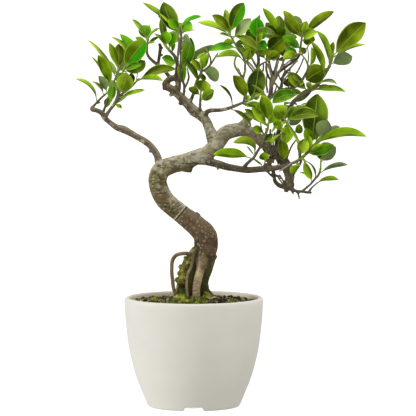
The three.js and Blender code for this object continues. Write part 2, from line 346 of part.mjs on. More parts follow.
   [[0, 1, -96, 441, 14, 14, 170, 0, 0, 1], [0, 0.96, -76, 430, 22, 15, 150, 1, 0, 0],
    [0, 0.85, -108, 424, 18, 13, 160, 1, 0, 2], [0, 0.6, -84, 408, 26, 15, 150, 2, 0, 1],
    [0, 0.45, -106, 398, 24, 12, 160, 2, 0, 0], [0, 0.98, -84, 444, -12, 12, 160, 0, 0, 1]]],
  ["back_top_leaves",
   [[[-20, 420, 46, 1.5], [-19, 432, 56, 1.4], [-18, 446, 63, 1.3], [-19, 457, 67, 1]]],
   [[0, 1, -33, 489, 14, 15, 170, 0, 0, 1], [0, 0.97, -12, 469, 24, 14, 160, 1, 0, 2],
    [0, 0.95, -44, 478, 8, 10, 120, 2, 0, 1], [0, 0.8, -9, 455, 26, 13, 150, 2, 0, 0],
    [0, 0.66, -31, 457, 26, 13, 160, 1, 0, 1], [0, 0.5, -8, 444, 22, 11, 160, 0, 0, 0]]],
  ["back_right_leaves",
   [[[97, 403, 56, 1.6], [100, 416, 66, 1.5], [104, 430, 73, 1.4], [108, 444, 77, 1.1]]],
   [[0, 1, 118, 473, 14, 15, 160, 0, 0, 1], [0, 0.97, 96, 468, 20, 15, 160, 1, 0, 0],
    [0, 0.96, 126, 452, 22, 13, 120, 2, 0, 1], [0, 0.8, 92, 446, 24, 14, 160, 1, 0, 1],
    [0, 0.66, 118, 434, 28, 12, 130, 3, 0, 2], [0, 0.5, 86, 434, 18, 12, 150, 2, 0, 0]]],
  ["back_low_leaves",
   [[[113, 356, 28, 1.5], [118, 362, 42, 1.4], [124, 366, 54, 1.3], [128, 368, 64, 1]]],
   [[0, 1, 150, 372, 22, 15, 100, 3, 0, 1], [0, 0.97, 110, 372, 26, 14, 100, 3, 0, 0],
    [0, 0.9, 142, 356, 16, 14, 120, 3, 0, 1], [0, 0.7, 103, 362, 14, 14, 100, 3, 0, 2],
    [0, 0.95, 134, 352, 28, 13, 60, 2, 0, 1], [0, 0.4, 146, 364, 4, 13, 100, 3, 0, 0]]],
];

// Small vector helpers
const add = (a, b) => [a[0] + b[0], a[1] + b[1], a[2] + b[2]];
const sub = (a, b) => [a[0] - b[0], a[1] - b[1], a[2] - b[2]];
const mul = (a, k) => [a[0] * k, a[1] * k, a[2] * k];
const dot = (a, b) => a[0] * b[0] + a[1] * b[1] + a[2] * b[2];
const cross = (a, b) => [a[1] * b[2] - a[2] * b[1], a[2] * b[0] - a[0] * b[2], a[0] * b[1] - a[1] * b[0]];
const unit = (a) => mul(a, 1 / Math.hypot(...a));
const mix = (a, b, t) => a.map((v, i) => v + (b[i] - v) * t);
const radians = (degrees) => (degrees * Math.PI) / 180;

// A point read from the front view, set back to its own depth
function seen(x, z, depth) {
  const k = 1 + depth / -EYE[1];
  return [EYE[0] + (x - EYE[0]) * k, depth, EYE[2] + (z - EYE[2]) * k];
}

// A closed solid from points and triangles, turned so that its faces point out
function solid(points, faces) {
  let volume = 0;
  for (const [a, b, c] of faces) volume += dot(points[a], cross(points[b], points[c]));
  const outward = volume < 0 ? faces.map(([a, b, c]) => [a, c, b]) : faces;
  return new wasm.Manifold(new wasm.Mesh({
    numProp: 3,
    vertProperties: new Float32Array(points.flat()),
    triVerts: new Uint32Array(outward.flat()),
  }));
}

// A solid from a three.js geometry, with shared corners merged and slivers at the axis left out
function fromGeometry(geometry) {
  const position = geometry.getAttribute('position');
  const index = geometry.getIndex();
  const places = new Map();
  const points = [];
  const owner = [];
  for (let i = 0; i < position.count; i += 1) {
    const p = [position.getX(i), position.getY(i), position.getZ(i)];
    const key = p.map((v) => Math.round(v * 1e4)).join(',');
    if (!places.has(key)) {
      places.set(key, points.length);
      points.push(p);
    }
    owner.push(places.get(key));
  }
  const faces = [];
  const corners = index ? index.count : position.count;
  for (let i = 0; i < corners; i += 3) {
    const face = [0, 1, 2].map((k) => owner[index ? index.getX(i + k) : i + k]);
    if (new Set(face).size === 3) faces.push(face);
  }
  return solid(points, faces);
}

function apart(a, b) {
  for (let i = 0; i < 3; i += 1) {
    if (a.min[i] > b.max[i] || b.min[i] > a.max[i]) return true;
  }
  return false;
}

function meetsAny(body, others) {
  const box = body.boundingBox();
  return others.some((other) => !apart(box, other.box) && !body.intersect(other.body).isEmpty());
}

function largest(body) {
  const pieces = body.decompose();
  pieces.sort((a, b) => b.volume() - a.volume());
  return pieces[0];
}

// Stems: a smooth curve through the placed points [x, y, z, radius], and a closed tube round it
function placed(route) {
  return route.map(([x, z, depth, r]) => [...seen(x, z, depth), r]);
}

function curve(route, u) {
  const n = route.length - 1;
  const place = Math.min(Math.max(u, 0), 1) * n;
  const i = Math.min(Math.floor(place), n - 1);
  const t = place - i;
  const p0 = route[Math.max(i - 1, 0)];
  const p1 = route[i];
  const p2 = route[i + 1];
  const p3 = route[Math.min(i + 2, n)];
  return p1.map((v, k) => 0.5 * (2 * v + (p2[k] - p0[k]) * t
    + (2 * p0[k] - 5 * v + 4 * p2[k] - p3[k]) * t * t
    + (3 * v - p0[k] - 3 * p2[k] + p3[k]) * t * t * t));
}

function tube(route, sides, steps, grow) {
  const count = (route.length - 1) * steps;
  const rows = [];
  for (let i = 0; i <= count; i += 1) rows.push(curve(route, i / count));
  const points = [];
  const faces = [];
  let across = null;
  rows.forEach((row, i) => {
    const along = unit(sub(rows[Math.min(i + 1, count)], rows[Math.max(i - 1, 0)]));
    if (!across) across = Math.abs(along[0]) < 0.7 ? [1, 0, 0] : [0, 1, 0];
    across = unit(sub(across, mul(along, dot(across, along))));
    const other = cross(along, across);
    const radius = row[3] + grow;
    for (let j = 0; j < sides; j += 1) {
      const angle = (2 * Math.PI * j) / sides;
      const reach = add(mul(across, radius * Math.cos(angle)), mul(other, radius * Math.sin(angle)));
      points.push(add(row, reach));
    }
  });
  for (let i = 0; i < count; i += 1) {
    for (let j = 0; j < sides; j += 1) {
      const a = i * sides + j;
      const b = i * sides + ((j + 1) % sides);
      faces.push([a, b, b + sides], [a, b + sides, a + sides]);
    }
  }
  for (const [end, inner] of [[0, 1], [count, count - 1]]) {
    const out = unit(sub(rows[end], rows[inner]));
    points.push(add(rows[end], mul(out, (rows[end][3] + grow) * END_ROUNDING)));
    for (let j = 0; j < sides; j += 1) {
      const a = end * sides + j;
      const b = end * sides + ((j + 1) % sides);
      faces.push(end === 0 ? [b, a, points.length - 1] : [a, b, points.length - 1]);
    }
  }
  return solid(points, faces);
}

// Leaves: roll turns the blade from facing the front view, bend lifts its middle, sweep curves it sideways
function leafFrame(foot, tip, width, roll, bend, sweep) {
  const along = unit(sub(tip, foot));
  const toEye = [0, -1, 0];
  let face = sub(toEye, mul(along, dot(toEye, along)));
  if (Math.hypot(...face) < END_ON) face = sub([0, 0, 1], mul(along, along[2]));
  face = unit(face);
  let rise = cross(along, face);
  if (rise[2] < -LEVEL) rise = mul(rise, -1);
  const normal = unit(add(mul(face, Math.cos(radians(roll))), mul(rise, Math.sin(radians(roll)))));
  const rows = Math.hypot(...sub(tip, foot)) < SMALL_LEAF ? SMALL_BLADE_ROWS : BLADE_ROWS;
  return { foot, tip, width, normal, side: cross(along, normal), bend, sweep, rows };
}

function midrib(frame, t) {
  const lift = 4 * t * (1 - t);
  const p = mix(frame.foot, frame.tip, t);
  return add(p, add(mul(frame.normal, frame.bend * lift), mul(frame.side, frame.sweep * lift)));
}

// Directions across a leaf at a place along its midrib
function crossFrame(frame, t) {
  const along = unit(sub(midrib(frame, Math.min(t + 0.02, 1)), midrib(frame, Math.max(t - 0.02, 0))));
  const up = unit(sub(frame.normal, mul(along, dot(frame.normal, along))));
  return { p: midrib(frame, t), up, side: cross(along, up) };
}

// Three corners round the stalk
function stalkRow(points, frame, t, radius) {
  const { p, up, side } = crossFrame(frame, t);
  const low = add(p, mul(up, -0.5 * radius));
  const reach = mul(side, 0.87 * radius);
  points.push(add(p, mul(up, radius)), add(low, reach), sub(low, reach));
  return points.length - 3;
}

// Six corners round the folded blade: left, middle and right above, then back below
function bladeRow(points, frame, t, reach, half) {
  const { p, up, side } = crossFrame(frame, t);
  const rise = mul(up, FOLD * reach);
  const left = add(add(p, mul(side, -reach)), rise);
  const right = add(add(p, mul(side, reach)), rise);
  const above = mul(up, half);
  const below = mul(up, -half);
  points.push(add(left, above), add(p, above), add(right, above));
  points.push(add(right, below), add(p, below), add(left, below));
  return points.length - 6;
}

// Both faces of the blade are split alike, so that they stay apart where it is waved
function joinBladeRows(faces, a, b) {
  for (let j = 0; j < 6; j += 1) {
    const k = (j + 1) % 6;
    if (j === 1 || j === 3) {
      faces.push([a + j, b + j, a + k], [a + k, b + j, b + k]);
    } else {
      faces.push([a + j, b + j, b + k], [a + j, b + k, a + k]);
    }
  }
}

// The blade from its first row on: further rows and the pointed tip
function finishBlade(points, faces, frame, first, half, grow) {
  let a = first;
  for (const [t, reach] of frame.rows.slice(1)) {
    const b = bladeRow(points, frame, t, frame.width * reach + grow, half);
    joinBladeRows(faces, a, b);
    a = b;
  }
  const end = add(frame.tip, mul(unit(sub(frame.tip, frame.foot)), grow));
  points.push(add(end, mul(frame.normal, half)), add(end, mul(frame.normal, -half)));
  const t = points.length - 2;
  const u = t + 1;
  faces.push([a, t, a + 1], [a + 1, t, a + 2], [a + 2, t, u], [a + 2, u, a + 3]);
  faces.push([a + 3, u, a + 4], [a + 4, u, a + 5], [a + 5, u, t], [a + 5, t, a]);
}

// A whole leaf with its stalk, grown outwards by a clearance where it is only tested
function leafBody(frame, grow) {
  const points = [];
  const faces = [];
  const half = BLADE_THICKNESS / 2 + grow;
  const a = stalkRow(points, frame, 0, PETIOLE + grow);
  const b = stalkRow(points, frame, STALK_END, PETIOLE + grow);
  faces.push([a, a + 1, a + 2]);
  for (let j = 0; j < 3; j += 1) {
    const k = (j + 1) % 3;
    faces.push([a + j, b + j, b + k], [a + j, b + k, a + k]);
  }
  const [t, reach] = frame.rows[0];
  const c = bladeRow(points, frame, t, frame.width * reach + grow, half);
  faces.push([b, c + 1, c + 2], [b, c + 2, b + 1], [b + 1, c + 2, c + 3], [b + 1, c + 3, c + 4]);
  faces.push([b + 1, c + 4, b + 2], [b + 2, c + 4, c + 5], [b + 2, c + 5, c], [b + 2, c, b], [b, c, c + 1]);
  finishBlade(points, faces, frame, c, half, grow);
  return solid(points, faces);
}

// The blade without its stalk, to keep the blades of one spray apart
function bladeBody(frame, grow) {
  const points = [];
  const faces = [];
  const half = BLADE_THICKNESS / 2 + grow;
  const a = bladeRow(points, frame, BLADE_START[0], frame.width * BLADE_START[1] + grow, half);
  faces.push([a, a + 1, a + 4], [a, a + 4, a + 5], [a + 1, a + 2, a + 3], [a + 1, a + 3, a + 4]);
  const [t, reach] = frame.rows[0];
  const b = bladeRow(points, frame, t, frame.width * reach + grow, half);
  joinBladeRows(faces, a, b);
  finishBlade(points, faces, frame, b, half, grow);
  return solid(points, faces);
}

// A leaf turned a little about its foot until it is clear of what stands round it
function growLeaf(foot, x, z, dy, width, roll, bend, sweep, others, ownBlades) {
  for (const [step, turn] of TURNS) {
    const tip = seen(x, z, foot[1] + dy + step);
    const frame = leafFrame(foot, tip, width, roll + turn, bend, sweep);
    if (!meetsAny(leafBody(frame, CLEAR), others) && !meetsAny(bladeBody(frame, CLEAR), ownBlades)) {
      return { whole: leafBody(frame, 0), blade: bladeBody(frame, 0) };
    }
  }
  return null;
}

// Pot: a turned shell with a full round lip, a foot ring with notches and drain holes
function potShell() {
  const top = POT_HEIGHT;
  const rim = POT_OUTLINE[POT_OUTLINE.length - 1][0];
  const foot = POT_OUTLINE[0][0];
  const low = POT_INNER[0][0];
  const profile = [
    [0, FOOT_DEPTH], [foot - FOOT_WIDTH, FOOT_DEPTH], [foot - FOOT_WIDTH + 1.2, 0],
    ...POT_OUTLINE,
    [rim - 0.7, top - 1.1], [rim - 2.3, top], [rim - WALL + 2.3, top], [rim - WALL + 0.7, top - 1.1],
    ...[...POT_INNER].reverse(),
    [low - 5, FLOOR_TOP + 2], [low - 11, FLOOR_TOP], [0, FLOOR_TOP],
  ];
  const shell = new THREE.LatheGeometry(profile.map(([r, z]) => new THREE.Vector2(r, z)), POT_SIDES);
  shell.rotateX(Math.PI / 2);
  return fromGeometry(shell);
}

function notchCutter(degrees) {
  const foot = NOTCH_FOOT_WIDTH / 2;
  const top = NOTCH_TOP_WIDTH / 2;
  const corner = NOTCH_HEIGHT - NOTCH_CORNER;
  const right = [[foot, -1], [top + 0.6, corner], [top - NOTCH_CORNER, NOTCH_HEIGHT]];
  const left = right.map(([x, z]) => [-x, z]).reverse();
  const outline = new THREE.Shape([...right, ...left].map(([x, z]) => new THREE.Vector2(x, z)));
  const depth = 3 * FOOT_WIDTH;
  const cutter = new THREE.ExtrudeGeometry(outline, { depth, bevelEnabled: false });
  cutter.rotateX(Math.PI / 2);
  cutter.translate(0, POT_OUTLINE[0][0] - FOOT_WIDTH - 2 + depth, 0);
  cutter.rotateZ(radians(degrees - 90));
  return fromGeometry(cutter);
}

function drainDrill(x, y) {
  const drill = new THREE.CylinderGeometry(DRAIN_RADIUS, DRAIN_RADIUS, 3 * FLOOR_TOP, 12);
  drill.rotateX(Math.PI / 2);
  drill.translate(x, y, FLOOR_TOP / 2);
  return fromGeometry(drill);
}

function potBody() {
  const cutters = NOTCH_ANGLES.map(notchCutter);
  cutters.push(drainDrill(0, 0));
  for (let i = 0; i < 3; i += 1) {
    const angle = DRAIN_START + (i * 2 * Math.PI) / 3;
    cutters.push(drainDrill(DRAIN_RING * Math.cos(angle), DRAIN_RING * Math.sin(angle)));
  }
  return potShell().subtract(wasm.Manifold.union(cutters));
}

// Soil: it fills the pot to just below the lip and is mounded at the tree's foot
function wallRadius(z) {
  const above = Math.max(POT_INNER.findIndex((row) => row[1] >= z), 1);
  const [low, high] = [POT_INNER[above - 1], POT_INNER[above]];
  return low[0] + ((high[0] - low[0]) * (z - low[1])) / (high[1] - low[1]);
}

function soilHeight(x, y) {
  let z = SOIL_LEVEL + 0.7 * Math.sin(x * 0.21 + 1.3) * Math.cos(y * 0.17);
  z += 0.5 * Math.sin(x * 0.4 - y * 0.33);
  for (const [mx, my, spread, rise] of SOIL_MOUNDS) {
    z += rise * Math.exp(-((x - mx) ** 2 + (y - my) ** 2) / (spread * spread));
  }
  return z;
}

function soilBody() {
  const inscribed = Math.cos(Math.PI / POT_SIDES);
  const rows = [
    ...SOIL_RINGS.map((r) => ({ r, height: soilHeight })),
    ...SOIL_SIDE_LEVELS.map((z) => ({ r: (wallRadius(z) - SOIL_GAP) * inscribed, height: () => z })),
    ...SOIL_FOOT.map(([r, z]) => ({ r, height: () => z })),
  ];
  const points = [[0, 0, soilHeight(0, 0)]];
  for (const row of rows) {
    for (let j = 0; j < SOIL_SIDES; j += 1) {
      const x = row.r * Math.cos((2 * Math.PI * j) / SOIL_SIDES);
      const y = row.r * Math.sin((2 * Math.PI * j) / SOIL_SIDES);
      points.push([x, y, row.height(x, y)]);
    }
  }
  points.push([0, 0, SOIL_FOOT[1][1]]);
  const faces = [];
  const last = 1 + (rows.length - 1) * SOIL_SIDES;
  for (let j = 0; j < SOIL_SIDES; j += 1) {
    const k = (j + 1) % SOIL_SIDES;
    faces.push([0, 1 + j, 1 + k], [last + j, points.length - 1, last + k]);
    for (let a = 1; a < last; a += SOIL_SIDES) {
      const b = a + SOIL_SIDES;
      faces.push([a + j, b + j, b + k], [a + j, b + k, a + k]);
    }
  }
  return solid(points, faces);
}

// Wood: roots, trunk, limbs and bare twigs grown together as one piece
function woodTube(raw, grow) {
  const thick = Math.max(...raw.map((p) => p[3]));
  const route = placed(raw);
  if (thick > 13) return tube(route, 11, 2, grow);
  if (thick > 6.5) return tube(route, 8, 1, grow);
  return tube(route, thick > 3 ? 6 : 4, 1, grow);
}

const woodParts = WOOD.map(([, raw]) => woodTube(raw, 0));
const wood = largest(wasm.Manifold.union(woodParts)).simplify(0.2);
const woodSeat = wasm.Manifold.union(WOOD.map(([, raw]) => woodTube(raw, WOOD_SEAT)));
const inSoil = WOOD.filter(([name]) => name.endsWith('root') || name === 'trunk');
const rootSeat = wasm.Manifold.union(inSoil.map(([, raw]) => woodTube(raw, ROOT_CLEARANCE)));

// Leafy stems, each with its leaves
const standing = (kind, body) => ({ kind, body, box: body.boundingBox() });
const grown = woodParts.map((body) => standing('wood', body));
const sprays = SPRAYS.map(([name, stems, leaves]) => {
  const routes = stems.map(placed);
  const tubes = routes.map((route) => tube(route, 4, 1, 0));
  grown.push(...tubes.map((body) => standing(name, body)));
  return { name, routes, tubes, leaves, bodies: [], blades: [], tones: [] };
});

function growLeaves(spray) {
  for (const [stem, at, x, z, dy, width, roll, bend, sweep, tone] of spray.leaves) {
    const foot = curve(spray.routes[stem], at).slice(0, 3);
    const others = grown.filter((other) => other.kind !== spray.name);
    const leaf = growLeaf(foot, x, z, dy, width, roll, bend, sweep, others, spray.blades);
    if (leaf) {
      spray.bodies.push(leaf.whole);
      spray.blades.push(standing(spray.name, leaf.blade));
      spray.tones.push(LEAF_TONES[tone]);
      grown.push(standing(spray.name, leaf.whole));
    }
  }
}

for (const spray of sprays) growLeaves(spray);

function sprayBody(spray) {
  const whole = wasm.Manifold.union([...spray.tubes, ...spray.bodies]);
  return largest(whole.subtract(woodSeat)).simplify(0.1);
}

function sprayColour(spray) {
  const colour = new THREE.Color(0, 0, 0);
  for (const tone of spray.tones) colour.add(new THREE.Color(tone).multiplyScalar(1 / spray.tones.length));
  return colour.getHex();
}

// The assembly, with the bottom centre of its box at the origin
const pieces = [
  { name: 'pot', body: potBody(), look: PALETTE.pot },
  { name: 'soil', body: largest(soilBody().subtract(rootSeat)), look: PALETTE.soil },
  { name: 'trunk', body: wood, look: PALETTE.wood },
];
for (const spray of sprays) {
  const look = { color: sprayColour(spray), roughness: LEAF_ROUGHNESS };
  pieces.push({ name: spray.name, body: sprayBody(spray), look });
}
const boxes = pieces.map((piece) => piece.body.boundingBox());
const low = [0, 1, 2].map((i) => Math.min(...boxes.map((box) => box.min[i])));
const high = [0, 1, 2].map((i) => Math.max(...boxes.map((box) => box.max[i])));
const shift = [-(low[0] + high[0]) / 2, -(low[1] + high[1]) / 2, -low[2]];

const group = new THREE.Group();
for (const piece of pieces) {
  const data = piece.body.translate(shift).getMesh();
  const geometry = new THREE.BufferGeometry();
  geometry.setAttribute('position', new THREE.BufferAttribute(new Float32Array(data.vertProperties), 3));
  geometry.setIndex(new THREE.BufferAttribute(new Uint32Array(data.triVerts), 1));
  geometry.computeVertexNormals();
  const mesh = new THREE.Mesh(geometry, new THREE.MeshStandardMaterial({ ...piece.look, metalness: 0 }));
  mesh.name = piece.name;
  group.add(mesh);
}

export default group;
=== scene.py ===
import math

import bpy
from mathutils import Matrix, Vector


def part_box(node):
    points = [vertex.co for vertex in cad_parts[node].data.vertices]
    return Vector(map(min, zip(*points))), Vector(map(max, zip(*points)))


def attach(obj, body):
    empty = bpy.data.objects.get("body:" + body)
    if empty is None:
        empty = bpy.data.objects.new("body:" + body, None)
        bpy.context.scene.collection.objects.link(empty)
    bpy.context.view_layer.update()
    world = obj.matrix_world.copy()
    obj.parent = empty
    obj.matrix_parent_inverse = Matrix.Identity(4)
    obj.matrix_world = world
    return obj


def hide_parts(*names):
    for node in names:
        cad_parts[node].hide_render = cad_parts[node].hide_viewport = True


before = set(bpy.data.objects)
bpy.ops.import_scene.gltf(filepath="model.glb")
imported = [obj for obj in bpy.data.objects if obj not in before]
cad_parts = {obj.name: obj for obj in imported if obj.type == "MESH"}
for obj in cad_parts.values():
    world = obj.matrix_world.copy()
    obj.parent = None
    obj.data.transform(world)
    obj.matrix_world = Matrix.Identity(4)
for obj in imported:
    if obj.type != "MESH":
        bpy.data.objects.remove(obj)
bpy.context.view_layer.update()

# Lengths are in millimetres, read from the front view with the pot's axis at 0, 0
MM = 0.001
EYE = Vector((17.4, -5000.0, 640.0))
AIM = Vector((17.4, 0.0, 243.3))
LENS = 355.41
SENSOR = 36.0
UP = Vector((0, 0, 1))

# Pot: its outline as [radius, height], up the outside, round the lip and down the inside
POT_SIDES = 144
UNDERSIDE = 3.2
POT_OUTSIDE = [
    [46.4, 3.2], [46.9, 0.9], [48.2, 0], [53.6, 0], [55.4, 0.6], [56.9, 2.2], [57.9, 4.7],
    [60.1, 9.6], [64.1, 19.4], [68.1, 29], [71.6, 39], [74.5, 49], [76.8, 58.5], [78.9, 68],
    [80.6, 78], [81.8, 88], [82.9, 98], [83.9, 107.5], [84.4, 117], [84.9, 126],
]
LIP_MIDDLE, LIP_HEIGHT, LIP_RADIUS, LIP_STEPS = 81.7, 130.7, 3.3, 16
POT_INSIDE = [
    [78.4, 126], [77.7, 116], [76, 95], [73, 72.5], [69.2, 54.5], [65, 39], [61.4, 29], [57, 19],
    [53, 12.6], [47, 9.3], [42, 9],
]
FLOOR = 9.0
SOFT_EDGE = 0.5
NOTCH = [
    [-13.6, -1], [-10.6, 4.2], [-9.4, 5.3], [-7.6, 5.7], [7.6, 5.7], [9.4, 5.3], [10.6, 4.2],
    [13.6, -1],
]
NOTCH_ANGLES = [-90, 30, 150]
NOTCH_FROM, NOTCH_LENGTH = 3, 16
DRAIN_RADIUS, DRAIN_RING, DRAIN_TURN, DRAIN_SIDES = 6.0, 24.0, 0.5, 28
DRILL_LOW, DRILL_HIGH = -5.0, 20.0

# Leaves: the blade starts and the stalk ends at parts of the leaf's length
FOLD = 0.27
BLADE_FROM = 0.13
BLADE_ROWS = 22
HALF_WIDTH = 0.53
STALK_RADIUS = 0.75
STALK_POINTS = 15
STALK_TO = 0.96
FULL_LEAF = 34
BLADE_OUTLINE = [
    (0.0, 0.06), (0.07, 0.27), (0.16, 0.53), (0.27, 0.77), (0.4, 0.94), (0.52, 1.0),
    (0.64, 0.97), (0.75, 0.84), (0.85, 0.62), (0.93, 0.35), (0.975, 0.15), (1.0, 0.03),
]
STEM_STEP = 1.4
THICK_STEM = 2.2
BUD_LENGTH = 7.0
BUD_SHAPE = [(-0.1, 0.8), (0.15, 1.15), (0.35, 1.1), (0.6, 0.8), (0.85, 0.4), (1.0, 0.08)]

# Grown wood
WOOD_STEP = 1.1
THINNEST = 1.05
VOXEL = 0.97
RING_PITCH = 1.6

# The graft line, as a plane's slopes and offset, and the place on the trunk where it shows
GRAFT_ACROSS, GRAFT_HEIGHT, GRAFT_OFFSET = -0.76, 0.65, 167.6
GRAFT_X, GRAFT_Z = -17, 238

# Ovals on the bark, in the front view: across, height, half width, half height
RINGED_BARK = [[-28, 241, 17, 13], [3, 146, 7, 14]]
ROUGH_BARK = [
    [-42, 282, 15, 26], [-6, 300, 30, 9], [-26, 244, 17, 12], [40, 344, 34, 11], [18, 340, 10, 20],
]
CREASED_BARK = [-26, 297, 14, 10]
# The root's hollow is painted near black, as painted shade inside it
ROOT_HOLLOW = [-15, 148.5, 5, 4.2]

# Stains on the bark: an oval as above, then red, green, blue and strength
BARK_STAINS = [
    [-41, 259, 11, 9, 112, 90, 66, 0.75], [-48, 282, 5, 9, 112, 112, 44, 0.75],
    [-36, 275, 6, 6, 92, 90, 40, 0.5], [-24, 300, 13, 6, 196, 188, 158, 0.6],
    [-38, 291, 7, 5, 196, 188, 158, 0.5], [6, 306, 14, 6, 208, 202, 178, 0.6],
    [30, 322, 9, 7, 208, 202, 178, 0.6], [48, 340, 10, 5, 190, 184, 156, 0.5],
    [-43, 296, 2.4, 2.2, 70, 54, 32, 0.7], [-2, 291, 4, 3, 66, 54, 28, 0.8],
    [0, 310, 4, 2, 100, 86, 56, 0.7], [-11, 291, 8, 3, 120, 116, 60, 0.6],
    [4, 198, 5, 11, 60, 60, 22, 0.8], [27, 198, 3.4, 9, 84, 48, 32, 0.6],
    [12, 222, 12, 6, 122, 100, 76, 0.5], [20, 192, 9, 7, 128, 108, 78, 0.5],
    [17, 150, 8, 13, 52, 56, 14, 0.8], [12, 168, 3, 10, 60, 56, 26, 0.6],
    [10, 172, 3, 4, 96, 72, 48, 0.5], [5, 147, 5, 13, 140, 120, 88, 0.4],
]

